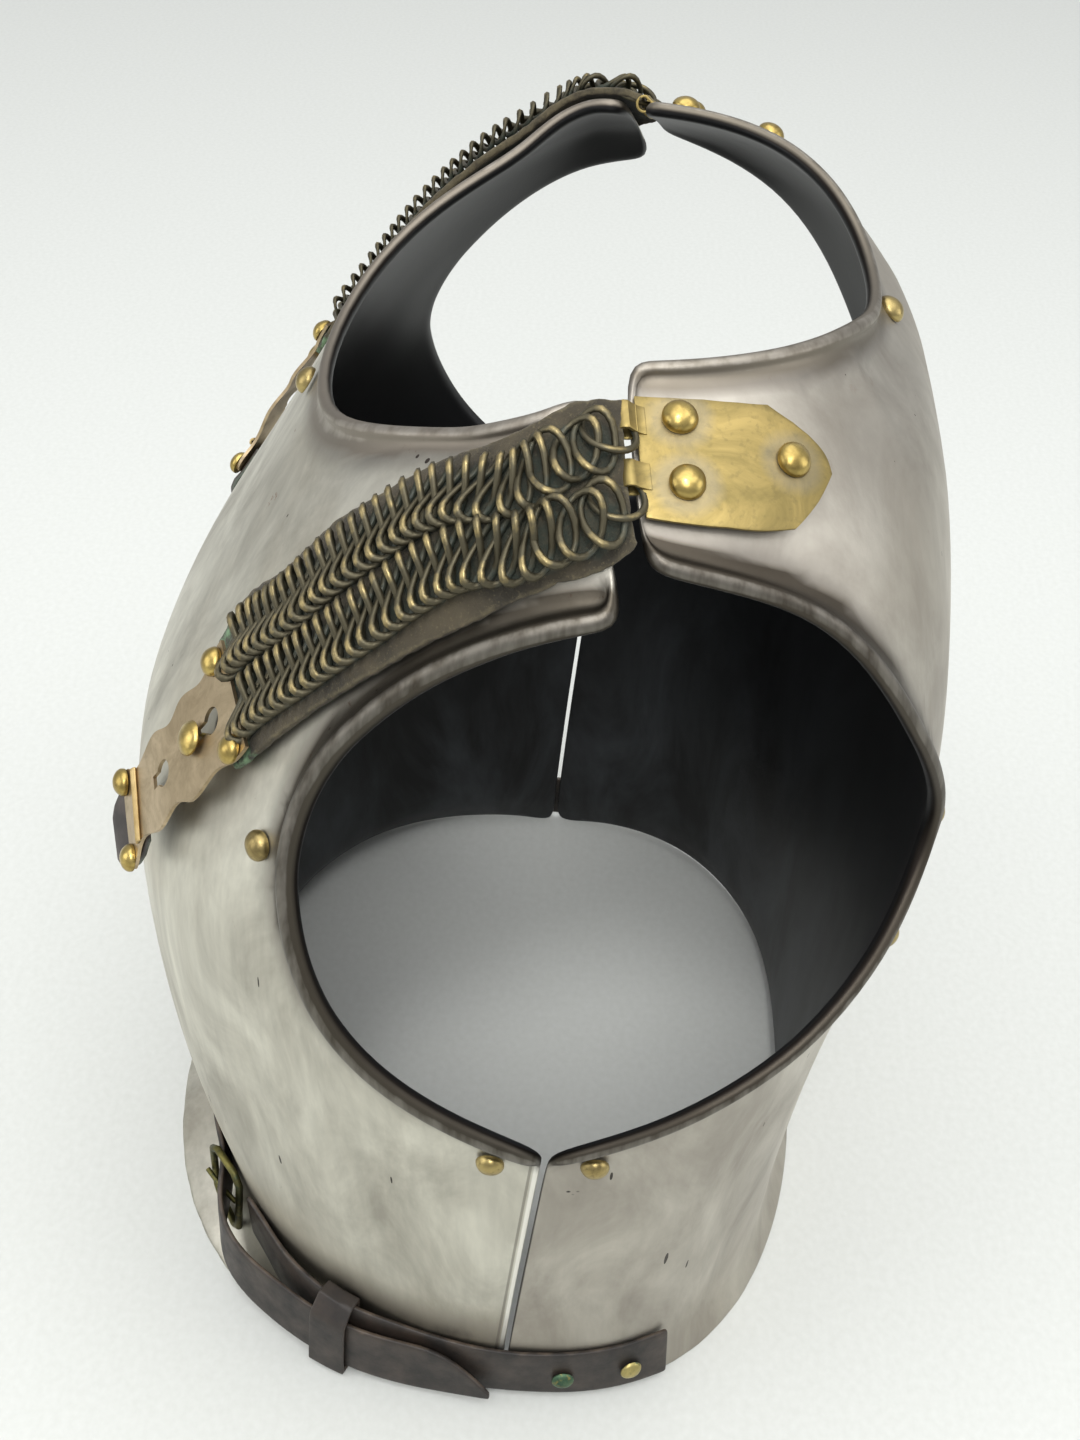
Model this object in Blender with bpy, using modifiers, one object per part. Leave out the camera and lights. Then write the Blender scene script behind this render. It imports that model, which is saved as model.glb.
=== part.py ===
"""Cavalry cuirass: breastplate and backplate standing on their waist flanges, joined by two
chained shoulder straps and a buckled waist belt. Metres, +Z up. The wearer faces -Y, and the
wearer's left is +X. The forms are worked out from the trunk's own axis, and then moved along Y
so that the origin is on the floor under the middle of the whole."""

import math

import bpy
import numpy as np
from mathutils import Matrix, Vector

# ---------------------------------------------------------------- driving sizes (metres)
BREAST_STEEL = 0.0022
BACK_STEEL = 0.0016
FLANGE_HEIGHT = 0.022
BREAST_FLARE = (0.030, 0.003)  # how far the flange turns out: at the centre, at the side
BACK_FLARE = (0.0085, 0.003)
NECK_ROLL = 0.0028  # radius of the wired edge at the neck
BREAST_ARM_ROLL = 0.0040
BACK_ARM_ROLL = 0.0032
SEAM_ROLL = 0.0016
GAP = 0.0003
CENTRE_SHIFT = 0.0194  # from the trunk's axis to the middle of the armour
SEAM_GAP = 0.0006

STRAP_LEATHER = 0.0025
CHAIN_RADIUS = 0.0036
BRASS_SHEET = 0.0012
RIVET_RADIUS = 0.0050
RIVET_HEIGHT = 0.0042
STUD_RADIUS = 0.0048
STUD_HEIGHT = 0.0034
BUTTON_RADIUS = 0.0056
BUTTON_HEIGHT = 0.0110

BELT_LEATHER = 0.0024
BELT_WIDTH = 0.027
BUCKLE_WIRE = 0.0016

# ---------------------------------------------------------------- the trunk under the steel
# Level sections of the trunk, from the waist to the crown of the closed form.
# height, half width, front depth, back depth
SECTIONS = (
    (0.022, 0.160, 0.140, 0.107),
    (0.100, 0.168, 0.157, 0.111),
    (0.189, 0.178, 0.161, 0.120),
    (0.258, 0.188, 0.151, 0.131),
    (0.322, 0.177, 0.114, 0.127),
    (0.382, 0.144, 0.076, 0.112),
    (0.406, 0.129, 0.036, 0.090),
    (0.430, 0.069, 0.026, 0.063),
    (0.438, 0.000, 0.000, 0.000),
)
# How square the sections are: x exponent and its growth per section, then the same for y.
FRONT_SQUARENESS = (2.35, -0.032, 2.06, -0.039)
BACK_SQUARENESS = (2.50, 0.026, 2.46, 0.040)

# Edges, as degrees round from the side (front negative) and section number.
SIDE_SEAM = ((-1.8, 0.0), (1.6, 2.05))
BREAST_ARM = ((1.6, 2.05), (-14.3, 2.47), (-27.8, 3.16), (-35.0, 4.02), (-21.1, 4.64), (5.0, 5.10))
BACK_ARM = ((1.6, 2.05), (22.0, 2.43), (44.0, 2.80), (60.0, 3.22), (51.5, 4.14), (28.7, 5.05), (8.5, 5.62))
BREAST_NECK = (
    (-90.0, 4.79), (-77.0, 4.86), (-66.5, 5.06), (-58.0, 5.38), (-51.0, 5.75), (-41.0, 6.11),
    (-23.0, 6.39), (2.8, 6.58),
)
BACK_NECK = ((90.0, 6.10), (83.0, 6.23), (76.0, 6.39), (65.0, 6.54), (50.0, 6.65), (25.0, 6.73), (6.0, 6.74))

RIM_STEPS = 5
TURNED_STEPS = 10


def natural_spline(knots, values):
    """A natural cubic through (knot, value), as a function of the knot."""
    t = np.asarray(knots, float)
    v = np.asarray(values, float)
    h = np.diff(t)
    size = len(t)
    system = np.eye(size)
    right = np.zeros(size)
    for i in range(1, size - 1):
        system[i, i - 1 : i + 2] = h[i - 1], 2 * (h[i - 1] + h[i]), h[i]
        right[i] = 6 * ((v[i + 1] - v[i]) / h[i] - (v[i] - v[i - 1]) / h[i - 1])
    bend = np.linalg.solve(system, right)

    def at(x):
        i = int(np.clip(np.searchsorted(t, x) - 1, 0, size - 2))
        a = (t[i + 1] - x) / h[i]
        b = 1 - a
        cubic = (a**3 - a) * bend[i] + (b**3 - b) * bend[i + 1]
        return float(a * v[i] + b * v[i + 1] + cubic * h[i] ** 2 / 6)

    return at


HEIGHT, HALF_WIDTH, FRONT_DEPTH, BACK_DEPTH = (
    natural_spline(range(len(SECTIONS)), column) for column in zip(*SECTIONS)
)


def trunk(turn, section):
    """The point of the trunk's left half at this many degrees round and this section."""
    angle = math.radians(turn)
    front = turn < 0
    depth = FRONT_DEPTH(section) if front else BACK_DEPTH(section)
    sides, sides_rate, ends, ends_rate = FRONT_SQUARENESS if front else BACK_SQUARENESS
    sides += sides_rate * (section - 2)
    ends += ends_rate * (section - 2)
    x = HALF_WIDTH(section) * max(math.cos(angle), 0.0) ** (2 / sides)
    y = depth * abs(math.sin(angle)) ** (2 / ends)
    return Vector((x, -y if front else y, HEIGHT(section)))


def trunk_normal(turn, section):
    """The outward direction there, from small steps either way."""
    turn = max(min(turn, 89.0), -89.0)
    if abs(turn) < 1.5:
        turn = 1.5 if turn >= 0 else -1.5
    across = trunk(turn + 0.8, section) - trunk(turn - 0.8, section)
    up = trunk(turn, section + 0.04) - trunk(turn, section - 0.04)
    return across.cross(up).normalized()


def path_through(stops, count):
    """Evenly stepped points of a smooth path through (turn, section) stops."""
    runs = [0.0]
    for (a, b), (c, d) in zip(stops, stops[1:]):
        runs.append(runs[-1] + math.hypot((c - a) / 60, (d - b) / 1.6))
    turn = natural_spline(runs, [stop[0] for stop in stops])
    section = natural_spline(runs, [stop[1] for stop in stops])
    steps = [runs[-1] * i / count for i in range(count + 1)]
    return [(turn(s), section(s)) for s in steps]


def coons(bottom, top, left, right):
    """Rows of (turn, section) filling four matching edges."""
    rows = []
    for r in range(len(left)):
        v = r / (len(left) - 1)
        row = []
        for c in range(len(bottom)):
            u = c / (len(bottom) - 1)
            point = []
            for k in (0, 1):
                sides = (1 - u) * left[r][k] + u * right[r][k]
                ends = (1 - v) * bottom[c][k] + v * top[c][k]
                low = (1 - u) * bottom[0][k] + u * bottom[-1][k]
                high = (1 - u) * top[0][k] + u * top[-1][k]
                point.append(sides + ends - (1 - v) * low - v * high)
            row.append(tuple(point))
        rows.append(row)
    return rows


def between(a, b, count):
    return [
        (a[0] + (b[0] - a[0]) * i / count, a[1] + (b[1] - a[1]) * i / count)
        for i in range(count + 1)
    ]


# ---------------------------------------------------------------- making objects
def clear_scene():
    for obj in list(bpy.data.objects):
        bpy.data.objects.remove(obj)


def material(name, color, metallic, roughness):
    made = bpy.data.materials.new(name)
    made.use_nodes = True
    shader = made.node_tree.nodes["Principled BSDF"]
    shader.inputs["Base Color"].default_value = (*color, 1.0)
    shader.inputs["Metallic"].default_value = metallic
    shader.inputs["Roughness"].default_value = roughness
    return made


def add_object(name, data, parts, finish):
    obj = bpy.data.objects.new(name, data)
    parts.objects.link(obj)
    data.materials.append(finish)
    return obj


def boundary_frames(points, faces, is_open):
    """For each vertex of an open surface's edge: the unit direction out of the surface."""
    edges = {}
    for face in faces:
        for a, b in zip(face, face[1:] + face[:1]):
            edges[(a, b)] = face
    rim = [(a, b) for a, b in edges if (b, a) not in edges and not is_open(a, b)]
    out = {}
    for a, b in rim:
        way = points[b] - points[a]
        corners = [points[i] for i in edges[(a, b)]]
        normal = (corners[1] - corners[0]).cross(corners[2] - corners[1]).normalized()
        side = way.cross(normal).normalized()
        out[a] = out.get(a, Vector()) + side
        out[b] = out.get(b, Vector()) + side
    return rim, {key: direction.normalized() for key, direction in out.items()}


def squares(cells, flipped=False):
    """The corner keys of the (row, column) cells, anticlockwise from outside."""
    faces = [[(r, c), (r, c + 1), (r + 1, c + 1), (r + 1, c)] for r, c in cells]
    return [face[::-1] for face in faces] if flipped else faces


def no_edge(a, b):
    return False


def plain_rim(key, outer, inner, out):
    return []


def cell_shell(name, outer, inner, faces, rim_of=plain_rim, is_open=no_edge):
    """A closed wall from two matching grids of points. rim_of gives the points between the
    two grids at an edge vertex, and is_open says which edges are left open for a Mirror."""
    rim, out = boundary_frames(outer, faces, is_open)
    points = []
    index = {}

    def vertex(key, place):
        if key not in index:
            index[key] = len(points)
            points.append(place)
        return index[key]

    polygons = []
    for face in faces:
        polygons.append([vertex(("outer", k), outer[k]) for k in face])
        polygons.append([vertex(("inner", k), inner[k]) for k in reversed(face)])
    for a, b in rim:
        columns = []
        for key in (a, b):
            steps = rim_of(key, outer[key], inner[key], out[key])
            column = [vertex(("outer", key), outer[key])]
            column += [vertex((key, i), step) for i, step in enumerate(steps)]
            column.append(vertex(("inner", key), inner[key]))
            columns.append(column)
        left, right = columns
        for i in range(len(left) - 1):
            polygons.append([left[i], left[i + 1], right[i + 1], right[i]])
    mesh = bpy.data.meshes.new(name)
    mesh.from_pydata(points, [], polygons)
    return mesh


# ---------------------------------------------------------------- the two steel plates
COLUMNS = 14  # from the centre line to the side seam
BODY_COLUMNS = 7  # of them, those that pass behind the arm hole
NECK_COLUMNS = 3  # of them, those that end at the neck
FLANGE_ROWS = 2
SEAM_STEPS = (0.0, 0.20, 0.40, 0.60, 0.80, 0.95, 1.0)
MIDDLE_ROWS = 6
SHOULDER_STEPS = (0.0, 0.19, 0.38, 0.57, 0.76, 0.92, 1.0)
WAIST_ROW = FLANGE_ROWS
ARM_ROW = WAIST_ROW + len(SEAM_STEPS) - 1
NECK_ROW = ARM_ROW + MIDDLE_ROWS
LAST_ROW = NECK_ROW + len(SHOULDER_STEPS) - 1


def plate_grid(centre_turn, neck, arm, side_shares):
    """Places of the half plate's grid as (turn, section), keyed by (row, column). It has three
    blocks: below the arm hole, between the two arm holes, and the shoulder beside the neck."""
    neck_share, corner_share, arm_share, centre_section = side_shares
    fine = 120
    neck_fine = path_through(neck, fine)
    arm_fine = path_through(arm, fine)

    def picked(path, start, stop, steps):
        return [path[round(fine * (start + (stop - start) * t))] for t in steps]

    def even(count):
        return [i / count for i in range(count + 1)]

    under_arm = picked(arm_fine, corner_share, 0.0, even(COLUMNS - BODY_COLUMNS))
    arm_low = picked(arm_fine, corner_share, arm_share, even(MIDDLE_ROWS))
    arm_high = picked(arm_fine, arm_share, 1.0, SHOULDER_STEPS)
    neck_low = picked(neck_fine, 0.0, neck_share, even(NECK_COLUMNS))
    neck_high = picked(neck_fine, neck_share, 1.0, SHOULDER_STEPS)
    (low_turn, low_section), (top_turn, top_section) = SIDE_SEAM
    seam = [
        (low_turn + (top_turn - low_turn) * t, low_section + (top_section - low_section) * t)
        for t in SEAM_STEPS
    ]
    middle = (centre_turn, centre_section)
    waist = between((centre_turn, 0.0), seam[0], COLUMNS)
    chest = between(middle, under_arm[0], BODY_COLUMNS)
    rise = [(centre_turn, centre_section * t) for t in SEAM_STEPS]
    below = coons(waist, chest + under_arm[1:], rise, seam)
    across = between(neck_low[-1], arm_low[-1], BODY_COLUMNS - NECK_COLUMNS)
    centre = between(middle, neck_low[0], MIDDLE_ROWS)
    beside = coons(chest, neck_low + across[1:], centre, arm_low)
    end = between(neck_high[-1], arm_high[-1], BODY_COLUMNS - NECK_COLUMNS)
    shoulder = coons(across, end, neck_high, arm_high)
    places = {}
    for block, first_row, first_column in (
        (below, WAIST_ROW, 0),
        (beside, ARM_ROW, 0),
        (shoulder, NECK_ROW, NECK_COLUMNS),
    ):
        for r, row in enumerate(block):
            for c, place in enumerate(row):
                places[(first_row + r, first_column + c)] = place
    cells = [(r, c) for r in range(ARM_ROW) for c in range(COLUMNS)]
    cells += [(r, c) for r in range(ARM_ROW, NECK_ROW) for c in range(BODY_COLUMNS)]
    cells += [(r, c) for r in range(NECK_ROW, LAST_ROW) for c in range(NECK_COLUMNS, BODY_COLUMNS)]
    return places, cells


def flare_at(turn, flare):
    centre, side = flare
    return side + (centre - side) * abs(math.sin(math.radians(turn))) ** 1.3


def flange_point(turn, drop, flare):
    """A point of the turned-out waist flange, drop being 0 at the waist and 1 at the floor."""
    waist = trunk(turn, 0.0)
    way = Vector((waist.x, waist.y * 1.15, 0.0)).normalized()
    if abs(turn) > 89.9:
        way = Vector((0.0, math.copysign(1.0, waist.y), 0.0))
    reach = flare_at(turn, flare) * drop**1.35
    return waist + way * reach - Vector((0, 0, FLANGE_HEIGHT * drop))


def plate_mesh(name, side, steel, flare, neck, arm, rolls, shares):
    """Half of the breastplate (side -1) or backplate (side 1), open at the middle."""
    neck_roll, arm_roll, seam_roll = rolls
    centre_turn = 90.0 * side
    places, cells = plate_grid(centre_turn, neck, arm, shares)
    outer = {}
    normals = {}
    for key, (turn, section) in places.items():
        outer[key] = trunk(turn, section)
        normals[key] = trunk_normal(turn, section)
        if key[1] == 0:
            outer[key].x = 0.0
            normals[key] = Vector((0, normals[key].y, normals[key].z)).normalized()
    for c in range(COLUMNS + 1):
        turn = places[(WAIST_ROW, c)][0]
        for r in range(FLANGE_ROWS):
            drop = 1 - r / FLANGE_ROWS
            key = (r, c)
            outer[key] = flange_point(turn, drop, flare)
            near = flange_point(turn, drop - 0.1, flare) - outer[key]
            along = flange_point(turn + 1.0 * side, drop, flare) - outer[key]
            if c == 0:
                along = Vector((-1.0, 0.0, 0.0))
                outer[key].x = 0.0
            normals[key] = along.cross(near).normalized() * side
            if c == 0:
                normals[key] = Vector((0, normals[key].y, normals[key].z)).normalized()

    def kind(key):
        r, c = key
        if r == 0:
            return "floor", 0.0
        if c == COLUMNS and r < ARM_ROW:
            return "seam", seam_roll
        if r == LAST_ROW and NECK_COLUMNS < c < BODY_COLUMNS:
            return "end", steel / 2
        if c >= BODY_COLUMNS:
            return "arm", arm_roll
        return "neck", neck_roll

    def is_middle(a, b):
        return abs(outer[a].x) < 1e-6 and abs(outer[b].x) < 1e-6

    # The seam and the shoulder ends draw back, so that the two plates stay apart.
    for key in outer:
        r, c = key
        if c == COLUMNS:
            roll = arm_roll * 0.8 if r == ARM_ROW else seam_roll
            outer[key].y += side * (roll + SEAM_GAP)
        if r == LAST_ROW:
            outer[key].y += side * 0.001

    faces = squares(cells, flipped=side > 0)
    _, out = boundary_frames(outer, faces, is_middle)
    inner = {}
    for key in outer:
        normal = normals[key]
        place = outer[key]
        if key in out:
            what, roll = kind(key)
            if what in ("neck", "arm", "seam") and roll > steel:
                lift = 0.35 * roll if what != "seam" else 0.0
                place = place - out[key] * 0.8 * roll + normal * lift
            if abs(outer[key].x) < 1e-6:
                place.x = 0.0
        outer[key] = place
        inner[key] = place - normal * steel
        if key[0] == 0:
            level = Vector((normal.x, normal.y, 0.0)).normalized()
            inner[key] = place - level * steel / max(0.5, math.hypot(normal.x, normal.y))
            inner[key].z = 0.0
            outer[key].z = 0.0
        if abs(place.x) < 1e-6:
            inner[key].x = 0.0

    def rim_of(key, top, under, direction):
        what, roll = kind(key)
        if what == "floor":
            return [top.lerp(under, (i + 1) / (RIM_STEPS + 1)) for i in range(RIM_STEPS)]
        normal = normals[key]
        if abs(top.x) < 1e-6:
            direction = Vector((0, direction.y, direction.z)).normalized()
        direction = (direction - normal * direction.dot(normal)).normalized()
        if roll <= steel:
            middle = (top + under) / 2
            first, last, radius = 60.0, -60.0, steel / 2
        else:
            middle = top + direction * 0.8 * roll + normal * (roll - steel)
            first, last, radius = 150.0, -75.0, roll
        steps = []
        for i in range(RIM_STEPS):
            angle = math.radians(first + (last - first) * i / (RIM_STEPS - 1))
            turned = direction * math.cos(angle) + normal * math.sin(angle)
            steps.append(middle + turned * radius)
        return steps

    return cell_shell(name, outer, inner, faces, rim_of, is_middle)


def add_plate(name, mesh, parts, finish):
    for polygon in mesh.polygons:
        polygon.use_smooth = True
    obj = add_object(name, mesh, parts, finish)
    mirror = obj.modifiers.new("Mirror", "MIRROR")
    mirror.use_axis = (True, False, False)
    mirror.merge_threshold = 0.0001


# ---------------------------------------------------------------- shared small forms
def lifted(turn, section, lift):
    """A point this far off the steel."""
    return trunk(turn, section) + trunk_normal(turn, section) * lift


def slab(name, under, thickness, cells):
    """A wall raised on the grid of its under side. thickness is measured along the surface's
    own normal, found from the neighbouring points."""
    over = {}
    for (r, c), place in under.items():
        along = under.get((r, c + 1), place) - under.get((r, c - 1), place)
        across = under.get((r + 1, c), place) - under.get((r - 1, c), place)
        over[(r, c)] = place + along.cross(across).normalized() * thickness
    return cell_shell(name, over, under, squares(cells))


def all_cells(rows, columns):
    return [(r, c) for r in range(rows) for c in range(columns)]


def add_pair(name, mesh, parts, finish):
    """The piece on the wearer's left and its mirror image on the right."""
    other = mesh.copy()
    other.name = name + "_right"
    other.transform(Matrix.Diagonal((-1.0, 1.0, 1.0, 1.0)))
    other.flip_normals()
    add_object(name + "_left", mesh, parts, finish)
    add_object(name + "_right", other, parts, finish)


def add_turned(name, profile, place, way, parts, finish):
    """A turned piece standing on a surface: profile is (radius, height) from the top down."""
    mesh = bpy.data.meshes.new(name)
    points = [(radius, 0.0, height) for radius, height in profile]
    mesh.from_pydata(points, [(i, i + 1) for i in range(len(points) - 1)], [])
    obj = add_object(name, mesh, parts, finish)
    screw = obj.modifiers.new("Screw", "SCREW")
    screw.steps = TURNED_STEPS
    screw.render_steps = TURNED_STEPS
    screw.use_merge_vertices = True
    screw.merge_threshold = 0.00005
    obj.rotation_euler = way.to_track_quat("Z", "Y").to_euler()
    obj.location = place + way * GAP


def add_turned_pair(name, profile, place, way, parts, finish):
    mirrored = Vector((-1.0, 1.0, 1.0))
    add_turned(name + "_left", profile, place, way, parts, finish)
    add_turned(name + "_right", profile, place * mirrored, way * mirrored, parts, finish)


def dome(radius, height):
    return (
        (0.0, height),
        (radius * 0.48, height * 0.90),
        (radius * 0.84, height * 0.58),
        (radius, height * 0.14),
        (radius * 0.97, 0.0),
        (0.0, 0.0),
    )


def add_tube(name, points, radius, parts, finish, closed=False):
    curve = bpy.data.curves.new(name, "CURVE")
    curve.dimensions = "3D"
    curve.bevel_depth = radius
    curve.bevel_resolution = 2
    curve.use_fill_caps = True
    spline = curve.splines.new("POLY")
    spline.points.add(len(points) - 1)
    for target, place in zip(spline.points, points):
        target.co = (*place, 1.0)
    spline.use_cyclic_u = closed
    return add_object(name, curve, parts, finish)


def step_between(table, at):
    """The rest of a table's row, read off at this value of its first column."""
    for low, high in zip(table, table[1:]):
        if at <= high[0]:
            break
    share = (at - low[0]) / (high[0] - low[0])
    return [a + (b - a) * share for a, b in zip(low[1:], high[1:])]


# ---------------------------------------------------------------- tongue plates
# Edges of the brass tongue on the backplate's shoulder, front to back.
TONGUE_ARM_EDGE = ((8.6, 5.99), (14.6, 5.93), (20.7, 5.86), (26.5, 5.76), (32.1, 5.68), (38.8, 5.81), (44.3, 5.94))
TONGUE_NECK_EDGE = ((7.2, 6.61), (13.5, 6.60), (19.8, 6.58), (27.0, 6.54), (33.9, 6.49), (38.9, 6.36), (41.8, 6.26))
TONGUE_ROWS = (0.0, 0.28, 0.50, 0.72, 0.92, 1.0)
LUG_ROWS = (1, 3)  # the rows that run on forward as lugs for the chains
LUG_LENGTH = 0.0075
LUG_RISE = (0.0050, 0.0074)
TONGUE_LIFT = 0.0018
TONGUE_RIVETS = ((14.8, 6.50), (15.1, 6.18), (36.4, 6.16))


def add_tongues(parts, brass):
    under = {}
    last = len(TONGUE_ARM_EDGE) - 1
    for c, (low, high) in enumerate(zip(TONGUE_ARM_EDGE, TONGUE_NECK_EDGE)):
        for r, share in enumerate(TONGUE_ROWS):
            turn = low[0] + (high[0] - low[0]) * share
            section = low[1] + (high[1] - low[1]) * share
            if c == last:
                turn += 1.4 * math.sin(math.pi * share)
            under[(r, c)] = lifted(turn, section, TONGUE_LIFT)
    cells = all_cells(len(TONGUE_ROWS) - 1, last)
    for row, rise in zip(LUG_ROWS, LUG_RISE):
        for r in (row, row + 1):
            turn, section = TONGUE_ARM_EDGE[0]
            normal = trunk_normal(turn, section + 0.65 * TONGUE_ROWS[r])
            end = under[(r, 0)] - Vector((0, LUG_LENGTH, 0)) + normal * rise
            under[(r, -1)] = under[(r, 0)].lerp(end, 0.45) + normal * rise * 0.2
            under[(r, -2)] = end
        cells += [(row, -1), (row, -2)]
    add_pair("tongue_plate", slab("tongue_plate", under, BRASS_SHEET, cells), parts, brass)
    for i, (turn, section) in enumerate(TONGUE_RIVETS):
        way = trunk_normal(turn, section)
        place = lifted(turn, section, TONGUE_LIFT + BRASS_SHEET + 0.0002)
        add_turned_pair(f"tongue_rivet_{i + 1}", dome(RIVET_RADIUS, RIVET_HEIGHT), place, way, parts, brass)


# ---------------------------------------------------------------- shoulder straps
# Edges of the leather, front to back, as degrees round and section number.
STRAP_ARM_EDGE = (
    (-47.4, 3.77), (-43.1, 4.05), (-37.9, 4.28), (-27.9, 4.60), (-21.9, 4.77),
    (-15.6, 4.93), (-8.7, 5.14), (-2.3, 5.30), (7.2, 5.78),
)
STRAP_NECK_EDGE = (
    (-63.2, 3.95), (-62.5, 4.22), (-56.0, 4.52), (-51.6, 4.80), (-47.4, 5.08),
    (-45.0, 5.34), (-43.3, 5.62), (-37.8, 5.97), (-31.0, 6.15), (-20.0, 6.33), (-8.8, 6.46),
    (5.0, 6.57),
)
STRAP_SHARES = (0.0, 0.07, 0.15, 0.23, 0.31, 0.39, 0.47, 0.55, 0.63, 0.71, 0.79, 0.87, 0.94, 1.0)
STRAP_ROWS = (0.0, 0.25, 0.50, 0.75, 1.0)
# How far the leather's under side stands off the steel: it climbs over the neck roll.
# share of the length, at the arm edge, at the neck edge
STRAP_LIFTS = (
    (0.00, 0.0024, 0.0024),
    (0.20, 0.0018, 0.0018),
    (0.56, 0.0018, 0.0024),
    (0.68, 0.0020, 0.0042),
    (0.76, 0.0020, 0.0052),
    (0.96, 0.0014, 0.0052),
    (1.00, 0.0010, 0.0036),
)
CHAIN_SHARES = (0.10, 0.955)  # where the chains start and stop along the leather
# Where the two chains lie across the leather, from its arm edge.
# share of the length, the arm's chain, the neck's chain
CHAIN_LINES = (
    (0.00, 0.27, 0.69),
    (0.50, 0.28, 0.69),
    (0.80, 0.35, 0.73),
    (1.00, 0.41, 0.80),
)


def evenly_along(stops, share):
    """The place at this share of a path's real length over the trunk."""
    path = path_through(stops, 200)
    runs = [0.0]
    for a, b in zip(path, path[1:]):
        runs.append(runs[-1] + (trunk(*b) - trunk(*a)).length)
    place = float(np.interp(share * runs[-1], runs, range(len(runs))))
    first = min(int(place), len(path) - 2)
    (a, b), (c, d) = path[first], path[first + 1]
    return a + (c - a) * (place - first), b + (d - b) * (place - first)


def strap_point(share, row, lift):
    low = evenly_along(STRAP_ARM_EDGE, share)
    high = evenly_along(STRAP_NECK_EDGE, share)
    arm_lift, neck_lift = step_between(STRAP_LIFTS, share)
    turn = low[0] + (high[0] - low[0]) * row
    section = low[1] + (high[1] - low[1]) * row
    rise = arm_lift + (neck_lift - arm_lift) * row**3
    return lifted(turn, section, rise + lift)


def add_shoulder_straps(parts, leather, brass):
    under = {}
    for c, share in enumerate(STRAP_SHARES):
        for r, row in enumerate(STRAP_ROWS):
            under[(r, c)] = strap_point(share, row, 0.0)
    cells = all_cells(len(STRAP_ROWS) - 1, len(STRAP_SHARES) - 1)
    mesh = slab("strap_leather", under, STRAP_LEATHER, cells)
    add_pair("strap_leather", mesh, parts, leather)
    start, stop = CHAIN_SHARES
    stations = [start] + [share for share in STRAP_SHARES if start < share < stop] + [stop]
    for line, label in enumerate(("arm", "neck")):
        rise = STRAP_LEATHER + GAP + 0.0005 + CHAIN_RADIUS
        route = [strap_point(share, step_between(CHAIN_LINES, share)[line], rise) for share in stations]
        add_tube(f"chain_{label}_left", route, CHAIN_RADIUS, parts, brass)
        route = [place * Vector((-1.0, 1.0, 1.0)) for place in route]
        add_tube(f"chain_{label}_right", route, CHAIN_RADIUS, parts, brass)


# ---------------------------------------------------------------- hook plates
HOOK_START = (-53.70, 3.920)  # middle of the rivets at the strap's end
HOOK_END = (-60.3, 2.94)  # middle of the rivets at the tip
HOOK_LENGTH = 0.097
HOOK_ACROSS = ((0.365, -0.0034), (0.307, -0.0085))  # degrees and sections per mm, toward the arm
# distance from the strap's rivets, half width, half width of the keyhole's column, lift
HOOK_STATIONS = (
    (-0.008, 0.0205, 0.0030, 0.0058),
    (0.003, 0.0195, 0.0030, 0.0058),
    (0.0085, 0.0175, 0.0024, 0.0058),
    (0.011, 0.0168, 0.0046, 0.0059),
    (0.016, 0.0164, 0.0046, 0.0060),
    (0.019, 0.0168, 0.0032, 0.0061),
    (0.027, 0.0180, 0.0030, 0.0064),
    (0.034, 0.0172, 0.0030, 0.0066),
    (0.041, 0.0142, 0.0030, 0.0068),
    (0.0495, 0.0148, 0.0024, 0.0070),
    (0.052, 0.0156, 0.0046, 0.0070),
    (0.057, 0.0162, 0.0046, 0.0070),
    (0.060, 0.0160, 0.0032, 0.0070),
    (0.068, 0.0142, 0.0030, 0.0069),
    (0.077, 0.0122, 0.0030, 0.0068),
    (0.086, 0.0134, 0.0030, 0.0067),
    (0.092, 0.0158, 0.0030, 0.0066),
    (0.102, 0.0160, 0.0030, 0.0066),
)
KEYHOLE_STATIONS = (2, 3, 4, 5, 9, 10, 11, 12)  # the squares after these are open
STRAP_RIVETS = 0.0165  # from the middle line
TIP_RIVETS = 0.0128
STUD_AT = 0.0235  # the breast stud's place along the hook plate
# distance from the strap's rivets, half width, lift of the leather tab under the tip
TAB_STATIONS = (
    (0.084, 0.0115, 0.0036),
    (0.094, 0.0125, 0.0036),
    (0.104, 0.0125, 0.0036),
    (0.110, 0.0112, 0.0038),
    (0.1135, 0.0070, 0.0040),
)


def hook_frame(distance):
    """The steel under the hook plate's middle line: place, outward way, way toward the arm."""
    share = distance / HOOK_LENGTH
    turn, section = (a + (b - a) * share for a, b in zip(HOOK_START, HOOK_END))
    d_turn, d_section = (a + (b - a) * share for a, b in zip(*HOOK_ACROSS))
    ahead = trunk(turn + 5 * d_turn, section + 5 * d_section)
    behind = trunk(turn - 5 * d_turn, section - 5 * d_section)
    return trunk(turn, section), trunk_normal(turn, section), (ahead - behind).normalized()


def hook_point(distance, across, lift):
    place, way, toward_arm = hook_frame(distance)
    return place + way * lift + toward_arm * across


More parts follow.
